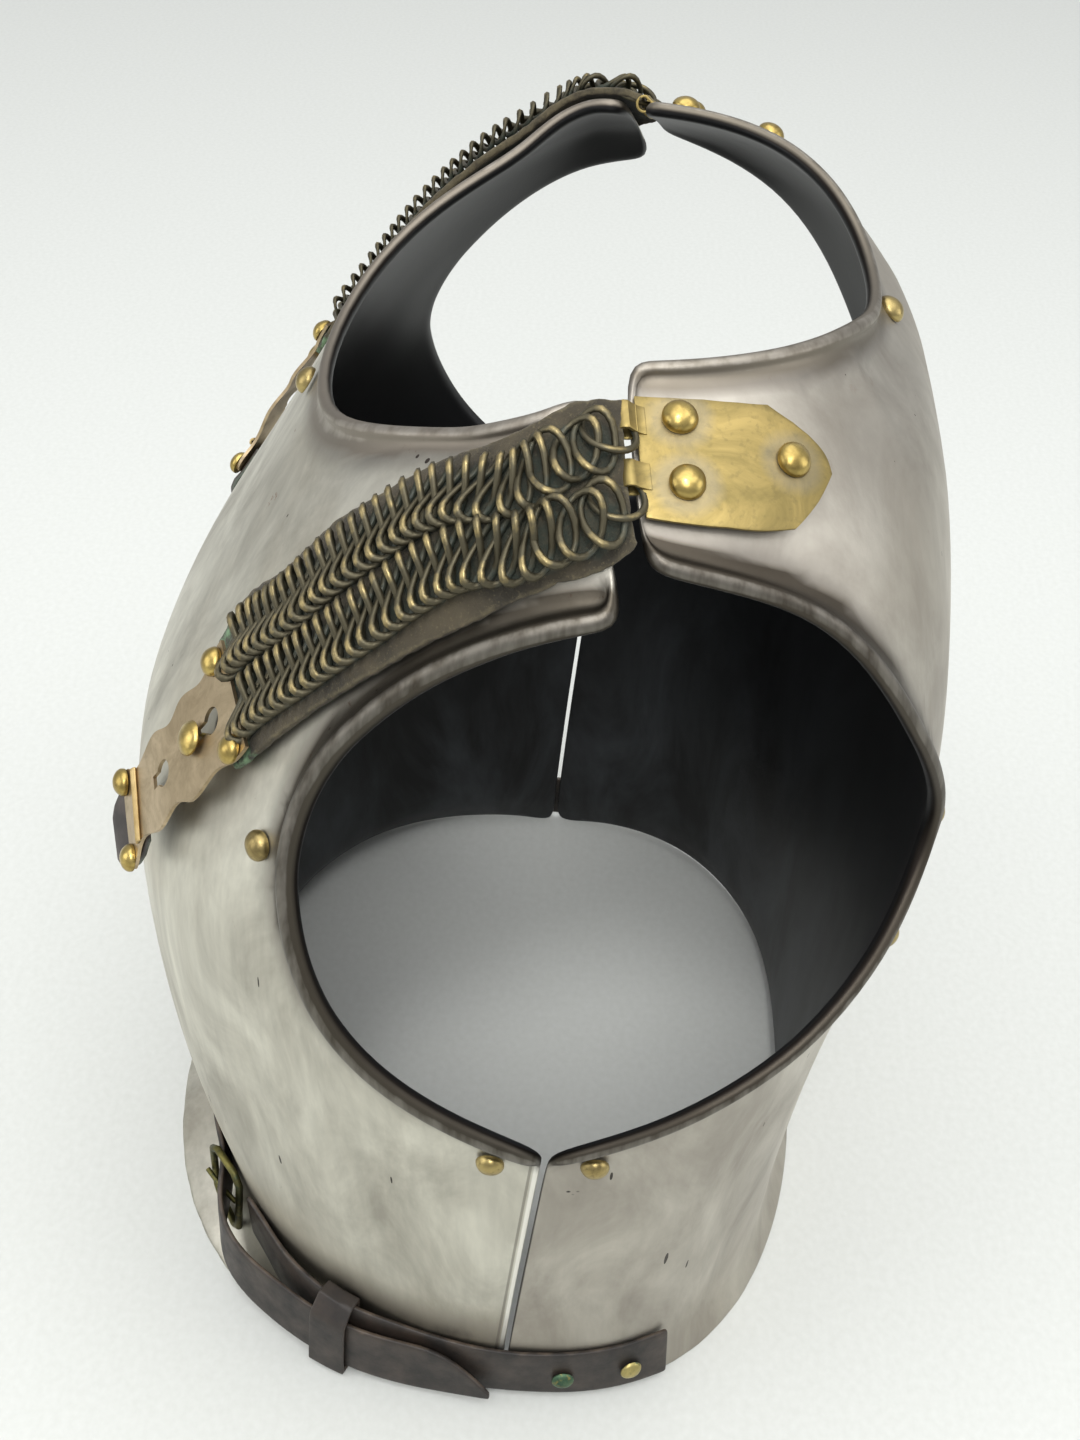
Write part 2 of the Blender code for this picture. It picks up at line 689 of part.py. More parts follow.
def add_hook_plates(parts, brass, leather):
    under = {}
    last = len(HOOK_STATIONS) - 1
    for i, (distance, half, slot, lift) in enumerate(HOOK_STATIONS):
        middle = (half + slot) / 2
        for r, across in enumerate((half, middle, slot, -slot, -middle, -half)):
            under[(r, last - i)] = hook_point(distance, across, lift)
    holes = {(2, last - i - 1) for i in KEYHOLE_STATIONS}
    cells = [cell for cell in all_cells(5, last) if cell not in holes]
    add_pair("hook_plate", slab("hook_plate", under, BRASS_SHEET, cells), parts, brass)
    for label, distance, across in (
        ("strap_arm", 0.0, STRAP_RIVETS),
        ("strap_neck", 0.0, -STRAP_RIVETS),
        ("tip_arm", HOOK_LENGTH, TIP_RIVETS),
        ("tip_neck", HOOK_LENGTH, -TIP_RIVETS),
    ):
        lift = step_between(HOOK_STATIONS, distance)[2] + BRASS_SHEET
        way = hook_frame(distance)[1]
        place = hook_point(distance, across, lift + 0.0004)
        profile = dome(RIVET_RADIUS * 0.94, RIVET_HEIGHT)
        add_turned_pair(f"hook_rivet_{label}", profile, place, way, parts, brass)
    stem = BUTTON_RADIUS * 0.4
    top = BUTTON_HEIGHT + 0.0008
    profile = (
        (0.0, top),
        (BUTTON_RADIUS * 0.6, top - 0.0005),
        (BUTTON_RADIUS, top - 0.0020),
        (BUTTON_RADIUS * 0.9, top - 0.0032),
        (stem, top - 0.0032),
        (stem, 0.0),
        (0.0, 0.0),
    )
    place, way, _ = hook_frame(STUD_AT)
    add_turned_pair("breast_stud", profile, place + way * 0.0001, way, parts, brass)
    under = {}
    last = len(TAB_STATIONS) - 1
    for i, (distance, half, lift) in enumerate(TAB_STATIONS):
        for r, share in enumerate((1.0, 0.6, -0.6, -1.0)):
            under[(r, last - i)] = hook_point(distance, half * share, lift)
    mesh = slab("pull_tab", under, 0.0023, all_cells(3, last))
    add_pair("pull_tab", mesh, parts, leather)


# ---------------------------------------------------------------- lining studs
# name, degrees round, section: on the wearer's left, with a mirror image on the right
LINING_STUDS = (
    ("breast_arm", -39.8, 3.57),
    ("breast_side", -3.9, 1.93),
    ("back_side", 7.2, 1.95),
    ("back_arm_low", 57.0, 2.70),
    ("back_arm_high", 65.5, 3.28),
)
CENTRE_STUDS = (("breast_neck", -89.999, 4.62), ("back_neck", 89.999, 5.78))


def add_lining_studs(parts, brass):
    profile = dome(STUD_RADIUS, STUD_HEIGHT)
    for name, turn, section in LINING_STUDS:
        way = trunk_normal(turn, section)
        place = lifted(turn, section, 0.0002)
        add_turned_pair(f"lining_stud_{name}", profile, place, way, parts, brass)
    for name, turn, section in CENTRE_STUDS:
        way = trunk_normal(turn, section)
        way.x = 0.0
        place = lifted(turn, section, 0.0010)
        place.x = 0.0
        add_turned(f"lining_stud_{name}", profile, place, way.normalized(), parts, brass)


# ---------------------------------------------------------------- waist belt
# degrees round (past -90 on the wearer's right), height of the lower edge,
# and how far the lower and the upper edge stand off beyond what they lie on
BELT_LEFT = (
    (-52.0, 0.0165, 0.0010, 0.0010),
    (-46.0, 0.0160, 0.0012, 0.0012),
    (-40.0, 0.0140, 0.0034, 0.0034),
    (-33.0, 0.0125, 0.0042, 0.0042),
    (-26.0, 0.0100, 0.0040, 0.0040),
    (-20.0, 0.0075, 0.0014, 0.0014),
    (-13.0, 0.0050, 0.0005, 0.0005),
    (-6.0, 0.0035, 0.0004, 0.0008),
    (0.0, 0.0030, 0.0004, 0.0010),
    (8.0, 0.0030, 0.0006, 0.0006),
    (18.0, 0.0030, 0.0008, 0.0008),
    (28.0, 0.0030, 0.0010, 0.0010),
)
BELT_RIGHT = (
    (-208.0, 0.0030, 0.0010, 0.0010),
    (-198.0, 0.0030, 0.0008, 0.0008),
    (-188.0, 0.0030, 0.0006, 0.0006),
    (-180.0, 0.0030, 0.0004, 0.0010),
    (-174.0, 0.0035, 0.0010, 0.0010),
    (-167.0, 0.0050, 0.0021, 0.0014),
    (-157.0, 0.0090, 0.0021, 0.0014),
    (-147.0, 0.0130, 0.0021, 0.0014),
    (-135.0, 0.0170, 0.0021, 0.0014),
    (-122.0, 0.0190, 0.0021, 0.0014),
    (-110.0, 0.0200, 0.0021, 0.0014),
    (-100.0, 0.0200, 0.0021, 0.0014),
    (-90.0, 0.0200, 0.0021, 0.0014),
    (-80.0, 0.0200, 0.0021, 0.0014),
    (-72.0, 0.0195, 0.0021, 0.0014),
    (-66.0, 0.0185, 0.0020, 0.0020),
    (-62.5, 0.0175, 0.0018, 0.0018),
    (-59.0, 0.0160, 0.0045, 0.0050),
    (-55.5, 0.0135, 0.0090, 0.0110),
    (-51.0, 0.0105, 0.0110, 0.0150),
    (-46.0, 0.0075, 0.0080, 0.0150),
    (-41.0, 0.0058, 0.0054, 0.0128),
    (-36.0, 0.0050, 0.0046, 0.0114),
    (-30.0, 0.0045, 0.0046, 0.0108),
    (-23.0, 0.0036, 0.0042, 0.0090),
    (-16.0, 0.0030, 0.0034, 0.0060),
    (-10.0, 0.0030, 0.0034, 0.0054),
)
BELT_TIP = (-3.4, 0.0085, 0.0075)  # degrees round, height, stand-off of the point
BELT_ROWS = (0.0, 0.42, 0.58, 1.0)
PRONG_HOLE = 17  # the square of the right strap that the prong passes through
KEEPER_TURNS = (-31.2, -28.2, -25.2)  # its two ends and its middle, degrees round
KEEPER_LEATHER = 0.0017
BELT_RIVETS = ((19.5, 0.0155), (6.5, 0.0150))


def waist_way(turn):
    waist = trunk(turn, 0.0)
    return Vector((waist.x, waist.y * 1.15, 0.0)).normalized()


def steel_reach(turn, height):
    """How far the steel stands outside the waist line at this height."""
    if height < FLANGE_HEIGHT:
        drop = 1 - height / FLANGE_HEIGHT
        return flare_at(turn, BREAST_FLARE if turn < 0 else BACK_FLARE) * drop**1.35
    rise = (height - FLANGE_HEIGHT) / (SECTIONS[1][0] - SECTIONS[0][0])
    return (trunk(turn, rise) - trunk(turn, 0.0)).dot(waist_way(turn))


def belt_point(turn, height, off):
    """A point off the steel at the waist. Past -90 degrees it is on the wearer's right."""
    mirrored = turn < -90
    if mirrored:
        turn = -180 - turn
    turn = max(turn, -89.99)
    place = trunk(turn, 0.0) + waist_way(turn) * (steel_reach(turn, height) + off)
    place.z = height
    if mirrored:
        place.x = -place.x
    return place


def belt_under(stations):
    under = {}
    for c, (turn, height, low_off, high_off) in enumerate(stations):
        low = belt_point(turn, height, low_off)
        high = belt_point(turn, height + BELT_WIDTH, high_off)
        for r, share in enumerate(BELT_ROWS):
            under[(r, c)] = low.lerp(high, share)
    return under


def belt_face(stations, turn, height):
    """A point of the strap's outer face and the way out of it."""
    low_height, low_off, high_off = step_between(stations, turn)
    low = belt_point(turn, low_height, low_off)
    high = belt_point(turn, low_height + BELT_WIDTH, high_off)
    ahead = belt_point(turn + 2, low_height, low_off)
    way = (ahead - low).cross(high - low).normalized()
    return low.lerp(high, (height - low_height) / BELT_WIDTH) + way * BELT_LEATHER, way


def add_belt(parts, leather, brass):
    under = belt_under(BELT_LEFT)
    mesh = slab("waist_strap_left", under, BELT_LEATHER, all_cells(3, len(BELT_LEFT) - 1))
    add_object("waist_strap_left", mesh, parts, leather)
    under = belt_under(BELT_RIGHT)
    count = len(BELT_RIGHT)
    turn, height, off = BELT_TIP
    tip = belt_point(turn, height, off)
    for r, share in enumerate(BELT_ROWS):
        under[(r, count)] = tip + Vector((0, 0, (share - 0.5) * 0.004))
    cells = [cell for cell in all_cells(3, count) if cell != (1, PRONG_HOLE)]
    mesh = slab("waist_strap_right", under, BELT_LEATHER, cells)
    add_object("waist_strap_right", mesh, parts, leather)
    for i, (turn, height) in enumerate(BELT_RIVETS):
        place, way = belt_face(BELT_LEFT, turn, height)
        profile = dome(0.0045, 0.0026)
        add_turned_pair(f"belt_rivet_{i + 1}", profile, place + way * 0.0004, way, parts, brass)


def add_buckle(parts, brass):
    wire = BUCKLE_WIRE
    rear, front = -54.2, -62.6
    corners = (
        belt_point(rear, 0.0115, wire + 0.0006),
        belt_point(rear, 0.0475, wire + 0.0006),
        belt_point(front, 0.0485, wire + BELT_LEATHER + 0.0022),
        belt_point(front, 0.0140, wire + BELT_LEATHER + 0.0022),
    )
    add_tube("waist_buckle", corners, wire, parts, brass, closed=True)
    back = corners[0].lerp(corners[1], 0.48)
    ahead = corners[2].lerp(corners[3], 0.52)
    way = waist_way(front)
    start = back + (ahead - back).normalized() * (wire + 0.0016)
    end = ahead + way * (wire + 0.0016)
    add_tube("buckle_prong", (start, end), 0.0011, parts, brass)


def keeper_loop(turn):
    """The corners of the keeper's inside there, round both straps."""
    height, low_off, high_off = step_between(BELT_LEFT, turn)
    low = belt_point(turn, height, low_off)
    high = belt_point(turn, height + BELT_WIDTH, high_off)
    height, low_off, high_off = step_between(BELT_RIGHT, turn)
    outer_low = belt_point(turn, height, low_off)
    outer_high = belt_point(turn, height + BELT_WIDTH, high_off)
    way = waist_way(turn)
    up = Vector((0, 0, 1))
    room = 0.0009
    return (
        low - way * room - up * room,
        high - way * room + up * room,
        high + way * (BELT_LEATHER + room) + up * room,
        outer_high + way * (BELT_LEATHER + room) + up * room,
        outer_low + way * (BELT_LEATHER + room) - up * room * 0.5,
        outer_low - way * room - up * room * 0.5,
    )


def add_keeper(parts, leather):
    points = []
    for turn in KEEPER_TURNS:
        inside = keeper_loop(turn)
        middle = sum(inside, Vector()) / len(inside)
        points += inside
        points += [p + (p - middle).normalized() * KEEPER_LEATHER for p in inside]
    sides = len(inside)
    around = 2 * sides
    polygons = []
    for i in range(sides):
        j = (i + 1) % sides
        for base in range(0, around * (len(KEEPER_TURNS) - 1), around):
            polygons.append([base + i, base + i + around, base + j + around, base + j])
            outer = base + sides
            polygons.append([outer + j, outer + j + around, outer + i + around, outer + i])
        end = around * (len(KEEPER_TURNS) - 1)
        polygons.append([i, j, j + sides, i + sides])
        polygons.append([end + i, end + i + sides, end + j + sides, end + j])
    mesh = bpy.data.meshes.new("belt_keeper")
    mesh.from_pydata(points, [], polygons)
    add_object("belt_keeper", mesh, parts, leather)


def main():
    clear_scene()
    parts = bpy.data.collections.new("cavalry_cuirass")
    bpy.context.scene.collection.children.link(parts)
    steel = material("Burnished steel", (0.55, 0.54, 0.50), 1.0, 0.38)
    brass = material("Aged brass", (0.60, 0.46, 0.20), 1.0, 0.35)
    leather = material("Dark leather", (0.09, 0.07, 0.06), 0.0, 0.65)
    breast = plate_mesh(
        "breastplate", -1, BREAST_STEEL, BREAST_FLARE, BREAST_NECK, BREAST_ARM,
        (NECK_ROLL, BREAST_ARM_ROLL, SEAM_ROLL), (0.40, 0.46, 0.66, 2.9),
    )
    add_plate("breastplate", breast, parts, steel)
    back = plate_mesh(
        "backplate", 1, BACK_STEEL, BACK_FLARE, BACK_NECK, BACK_ARM,
        (NECK_ROLL, BACK_ARM_ROLL, 0.0008), (0.30, 0.44, 0.60, 3.0),
    )
    add_plate("backplate", back, parts, steel)
    add_tongues(parts, brass)
    add_shoulder_straps(parts, leather, brass)
    add_hook_plates(parts, brass, leather)
    add_lining_studs(parts, brass)
    add_belt(parts, leather, brass)
    add_buckle(parts, brass)
    add_keeper(parts, leather)
    for obj in parts.objects:
        obj.location.y += CENTRE_SHIFT


main()
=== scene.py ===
"""Cavalry cuirass: the looks of a burnished breastplate and backplate, with their chained shoulder
straps and waist belt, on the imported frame. Metres, +Z up, the wearer facing -Y, the wearer's left
at +X. Shapes are worked out from the trunk's own axis and then moved along Y into the frame."""

import bisect
import math

import bpy
from mathutils import Matrix, Vector, kdtree, noise


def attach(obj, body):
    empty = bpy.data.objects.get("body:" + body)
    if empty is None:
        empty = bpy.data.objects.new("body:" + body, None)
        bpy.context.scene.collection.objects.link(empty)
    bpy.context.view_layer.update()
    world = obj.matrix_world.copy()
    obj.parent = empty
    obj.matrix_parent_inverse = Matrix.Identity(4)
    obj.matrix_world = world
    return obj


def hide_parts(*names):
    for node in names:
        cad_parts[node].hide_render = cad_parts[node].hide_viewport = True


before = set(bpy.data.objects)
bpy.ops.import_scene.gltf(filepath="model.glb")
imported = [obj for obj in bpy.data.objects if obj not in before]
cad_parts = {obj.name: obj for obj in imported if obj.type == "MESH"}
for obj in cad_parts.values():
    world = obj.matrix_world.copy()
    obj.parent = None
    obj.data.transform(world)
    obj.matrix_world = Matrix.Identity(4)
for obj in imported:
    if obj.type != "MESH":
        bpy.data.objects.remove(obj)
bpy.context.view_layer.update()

bl_info = {
    "name": "Cavalry cuirass",
    "version": (1, 0, 0),
    "blender": (4, 5, 0),
    "location": "3D View > Sidebar > Cuirass",
    "description": "Builds a cavalry cuirass piece by piece on its packed frame",
    "category": "Add Mesh",
}

CENTRE_SHIFT = 0.0194  # from the trunk's axis to the middle of the armour

# ---------------------------------------------------------------- the trunk under the steel
# height, half width, front depth, back depth of level sections, from the waist to the crown
SECTIONS = (
    (0.022, 0.160, 0.140, 0.107),
    (0.100, 0.168, 0.157, 0.111),
    (0.189, 0.178, 0.161, 0.120),
    (0.258, 0.188, 0.151, 0.131),
    (0.322, 0.177, 0.114, 0.127),
    (0.382, 0.144, 0.076, 0.112),
    (0.406, 0.129, 0.036, 0.090),
    (0.430, 0.069, 0.026, 0.063),
    (0.438, 0.000, 0.000, 0.000),
)
# Exponents of a level section's curve, each at section 2 and with its change per section: how
# square the sides are, and then the front or back.
FRONT_SQUARENESS = (2.35, -0.032, 2.06, -0.039)
BACK_SQUARENESS = (2.50, 0.026, 2.46, 0.040)
FLANGE_HEIGHT = 0.022
BREAST_FLARE = (0.030, 0.003)  # how far the waist flange turns out: at the centre, at the side
BACK_FLARE = (0.0085, 0.003)

# Edges of the plates, as degrees round from the side (front negative) and place in SECTIONS.
SIDE_SEAM = ((-1.8, 0.0), (1.6, 2.05))
BREAST_ARM = ((1.6, 2.05), (-14.3, 2.47), (-27.8, 3.16), (-35.0, 4.02), (-21.1, 4.64), (5.0, 5.10))
BACK_ARM = ((1.6, 2.05), (22.0, 2.43), (44.0, 2.80), (60.0, 3.22), (51.5, 4.14), (28.7, 5.05), (8.5, 5.62))
BREAST_NECK = (
    (-90.0, 4.79), (-77.0, 4.86), (-66.5, 5.06), (-58.0, 5.38), (-51.0, 5.75), (-41.0, 6.11),
    (-23.0, 6.39), (2.8, 6.58),
)
BACK_NECK = ((90.0, 6.10), (83.0, 6.23), (76.0, 6.39), (65.0, 6.54), (50.0, 6.65), (25.0, 6.73), (6.0, 6.74))


def natural_spline(knots, values):
    """A natural cubic through (knot, value), as a function of the knot."""
    size = len(knots)
    step = [b - a for a, b in zip(knots, knots[1:])]
    upper, right = [0.0] * size, [0.0] * size
    for i in range(1, size - 1):
        slope = (values[i + 1] - values[i]) / step[i] - (values[i] - values[i - 1]) / step[i - 1]
        pivot = 2 * (step[i - 1] + step[i]) - step[i - 1] * upper[i - 1]
        upper[i] = step[i] / pivot
        right[i] = (6 * slope - step[i - 1] * right[i - 1]) / pivot
    bend = [0.0] * size
    for i in range(size - 2, 0, -1):
        bend[i] = right[i] - upper[i] * bend[i + 1]

    def at(x):
        i = min(max(bisect.bisect_left(knots, x) - 1, 0), size - 2)
        a = (knots[i + 1] - x) / step[i]
        b = 1 - a
        cubic = (a**3 - a) * bend[i] + (b**3 - b) * bend[i + 1]
        return a * values[i] + b * values[i + 1] + cubic * step[i] ** 2 / 6

    return at


HEIGHT, HALF_WIDTH, FRONT_DEPTH, BACK_DEPTH = (
    natural_spline(list(range(len(SECTIONS))), list(column)) for column in zip(*SECTIONS)
)


def trunk(turn, section):
    """The point of the trunk's left half at this many degrees round and this section."""
    angle = math.radians(turn)
    front = turn < 0
    depth = FRONT_DEPTH(section) if front else BACK_DEPTH(section)
    sides, sides_rate, ends, ends_rate = FRONT_SQUARENESS if front else BACK_SQUARENESS
    sides += sides_rate * (section - 2)
    ends += ends_rate * (section - 2)
    x = HALF_WIDTH(section) * max(math.cos(angle), 0.0) ** (2 / sides)
    y = depth * abs(math.sin(angle)) ** (2 / ends)
    return Vector((x, -y if front else y, HEIGHT(section)))


def trunk_normal(turn, section):
    """The outward direction there, from small steps either way."""
    turn = max(min(turn, 89.0), -89.0)
    if abs(turn) < 1.5:
        turn = 1.5 if turn >= 0 else -1.5
    across = trunk(turn + 0.8, section) - trunk(turn - 0.8, section)
    up = trunk(turn, section + 0.04) - trunk(turn, section - 0.04)
    return across.cross(up).normalized()


def lifted(turn, section, lift):
    """A point this far off the trunk."""
    return trunk(turn, section) + trunk_normal(turn, section) * lift


RUN_TURN, RUN_SECTIONS = 60, 1.6  # degrees round, and sections, that count as the same run


def smooth_path(stops):
    """A smooth path through (turn, section) stops, as a function of the share of its run."""
    runs = [0.0]
    for (a, b), (c, d) in zip(stops, stops[1:]):
        runs.append(runs[-1] + math.hypot((c - a) / RUN_TURN, (d - b) / RUN_SECTIONS))
    turn = natural_spline(runs, [stop[0] for stop in stops])
    section = natural_spline(runs, [stop[1] for stop in stops])
    return lambda share: (turn(runs[-1] * share), section(runs[-1] * share))


def even_path(stops):
    """The same smooth path, as a function of the share of its real length over the trunk."""
    path = smooth_path(stops)
    count = 200
    places = [path(i / count) for i in range(count + 1)]
    runs = [0.0]
    for a, b in zip(places, places[1:]):
        runs.append(runs[-1] + (trunk(*b) - trunk(*a)).length)

    def at(share):
        goal = share * runs[-1]
        i = min(max(bisect.bisect_right(runs, goal) - 1, 0), count - 1)
        return path((i + (goal - runs[i]) / (runs[i + 1] - runs[i])) / count)

    return at


def read_off(table, at):
    """The rest of a table's row, read off at this value of its first column."""
    rows = sorted(table)
    for low, high in zip(rows, rows[1:]):
        if at <= high[0]:
            break
    share = (at - low[0]) / (high[0] - low[0])
    return [a + (b - a) * share for a, b in zip(low[1:], high[1:])]


def smooth_step(low, high, value):
    share = min(max((value - low) / (high - low), 0.0), 1.0)
    return share * share * (3 - 2 * share)


# ---------------------------------------------------------------- working on objects
def deselect():
    if bpy.context.mode != "OBJECT":
        bpy.ops.object.mode_set(mode="OBJECT")
    bpy.ops.object.select_all(action="DESELECT")


def pick(obj):
    deselect()
    obj.select_set(True)
    bpy.context.view_layer.objects.active = obj


def apply_modifier(obj, kind, **settings):
    """Adds a modifier, sets it and applies it."""
    pick(obj)
    modifier = obj.modifiers.new(kind.title(), kind)
    for key, value in settings.items():
        setattr(modifier, key, value)
    bpy.ops.object.modifier_apply(modifier=modifier.name)


def edit_all(obj, *steps):
    """Runs edit-mode operators, each given with its settings, on the whole mesh."""
    pick(obj)
    bpy.ops.object.mode_set(mode="EDIT")
    bpy.ops.mesh.select_all(action="SELECT")
    for operator, settings in steps:
        operator(**settings)
    bpy.ops.object.mode_set(mode="OBJECT")


def soft_shading(obj, degrees=40):
    pick(obj)
    bpy.ops.object.shade_smooth_by_angle(angle=math.radians(degrees))


def outward(place):
    """Which way is out of the armour at this place, roughly."""
    return Vector((place.x, place.y, max(0.0, place.z - 0.20)))


def turn_outwards(obj):
    """Flips a bent sheet whose faces look into the armour."""
    if sum(face.normal.dot(outward(face.center)) for face in obj.data.polygons) < 0:
        edit_all(obj, (bpy.ops.mesh.flip_normals, {}))


def bent_sheet(name, columns, rows, place):
    """A flat grid bent to place(share along, share across), facing out of the armour."""
    deselect()
    bpy.ops.mesh.primitive_grid_add(x_subdivisions=columns, y_subdivisions=rows, size=1.0, calc_uvs=True)
    obj = bpy.context.object
    obj.name = obj.data.name = name
    for vertex in obj.data.vertices:
        vertex.co = place(vertex.co.x + 0.5, vertex.co.y + 0.5)
    turn_outwards(obj)
    return obj


def thicken(obj, thickness, rounding, segments=2):
    apply_modifier(obj, "SOLIDIFY", thickness=thickness, offset=1.0, use_even_offset=True)
    apply_modifier(
        obj, "BEVEL", width=rounding, segments=segments, limit_method="ANGLE",
        angle_limit=math.radians(50), harden_normals=False,
    )


def own_copy(obj, name, matrix):
    """A copy with its own mesh, put in its place; a mirroring matrix is turned right side out."""
    copy = obj.copy()
    copy.data = obj.data.copy()
    copy.name = copy.data.name = name
    bpy.context.scene.collection.objects.link(copy)
    copy.data.transform(matrix)
    if matrix.determinant() < 0:
        edit_all(copy, (bpy.ops.mesh.flip_normals, {}))
    return copy


MIRROR = Matrix.Diagonal((-1.0, 1.0, 1.0, 1.0))


def joined(name, pieces):
    deselect()
    for piece in pieces:
        piece.select_set(True)
    bpy.context.view_layer.objects.active = pieces[0]
    if len(pieces) > 1:
        bpy.ops.object.join()
    pieces[0].name = pieces[0].data.name = name
    return pieces[0]


def dress(obj, *finishes):
    obj.data.materials.clear()
    for finish in finishes:
        obj.data.materials.append(finish)


def settle(obj, slot, *nodes, shift=True):
    """Puts a finished piece in the frame, in place of these CAD nodes."""
    if shift:
        obj.data.transform(Matrix.Translation((0.0, CENTRE_SHIFT, 0.0)))
    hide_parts(*nodes)
    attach(obj, "root")


def settle_pair(left, slot, node):
    """Settles a piece of the wearer's left side, and its mirror copy on the right."""
    right = own_copy(left, left.name.removesuffix("_left") + "_right", MIRROR)
    settle(left, slot, f"{node}_left")
    settle(right, slot, f"{node}_right")


def in_frame(place):
    """A place by the trunk's axis, as one in the frame."""
    return Vector((place.x, place.y + CENTRE_SHIFT, place.z))


# ---------------------------------------------------------------- finishes
KEYHOLE_SHADOW_EDGE, KEYHOLE_SHADOW_FULL = 0.0095, 0.0080  # painted shadow seen through a keyhole, from the hook plate over it: where it begins and where it is full, from the middle of a keyhole
KEYHOLE_SHADOW_SHIFT = Vector((-0.002, 0.0, 0.0))  # of the painted shadow's spot, toward the middle of the breast
DOT_EDGE, DOT_FULL = 0.0010, 0.0005  # from the middle of a punched dot
# The painted highlight of the beading and the painted shadow line beside it, by the seam: how far from it,
# half width.
BEAD_HIGHLIGHT_AT, BEAD_HIGHLIGHT_HALF = 0.0024, 0.0011
SHADOW_AT, SHADOW_HALF = 0.0044, 0.0006
GAP_HALF = 0.0011  # half width of the dark line on the seam itself
# Heights of the painted shade above the belt: none up to the first and from the last, full between the other
# two.
BELT_SHADE_FOOT, BELT_SHADE_LOW, BELT_SHADE_HIGH, BELT_SHADE_TOP = 0.022, 0.032, 0.036, 0.064
RUST_FROM, RUST_FULL = 0.24, 0.34  # heights between which the rust comes in
TONGUE_STAIN = 0.0088  # radius of the stain round a tongue plate's rivet


def linear(hex_colour):
    """An sRGB hex colour as linear RGBA."""
    parts = [int(hex_colour.lstrip("#")[i : i + 2], 16) / 255 for i in (0, 2, 4)]
    return (*(c / 12.92 if c <= 0.04045 else ((c + 0.055) / 1.055) ** 2.4 for c in parts), 1.0)


def add_node(tree, kind, links=(), **settings):
    """Adds a node, sets it, and gives each named input a value or a link."""
    node = tree.nodes.new(kind)
    for key, value in settings.items():
        setattr(node, key, value)
    for key, value in dict(links).items():
        if isinstance(value, bpy.types.NodeSocket):
            tree.links.new(value, node.inputs[key])
        else:
            node.inputs[key].default_value = value
    return node


def new_finish(name):
    finish = bpy.data.materials.new(name)
    finish.use_nodes = True
    tree = finish.node_tree
    tree.nodes.clear()
    place = add_node(tree, "ShaderNodeTexCoord").outputs["Object"]
    return finish, tree, place


def close_finish(tree, colour, normal, **shader):
    links = {"Base Color": colour, "Normal": normal}
    links.update({key.replace("_", " "): value for key, value in shader.items()})
    surface = add_node(tree, "ShaderNodeBsdfPrincipled", links)
    add_node(tree, "ShaderNodeOutputMaterial", {"Surface": surface.outputs[0]})


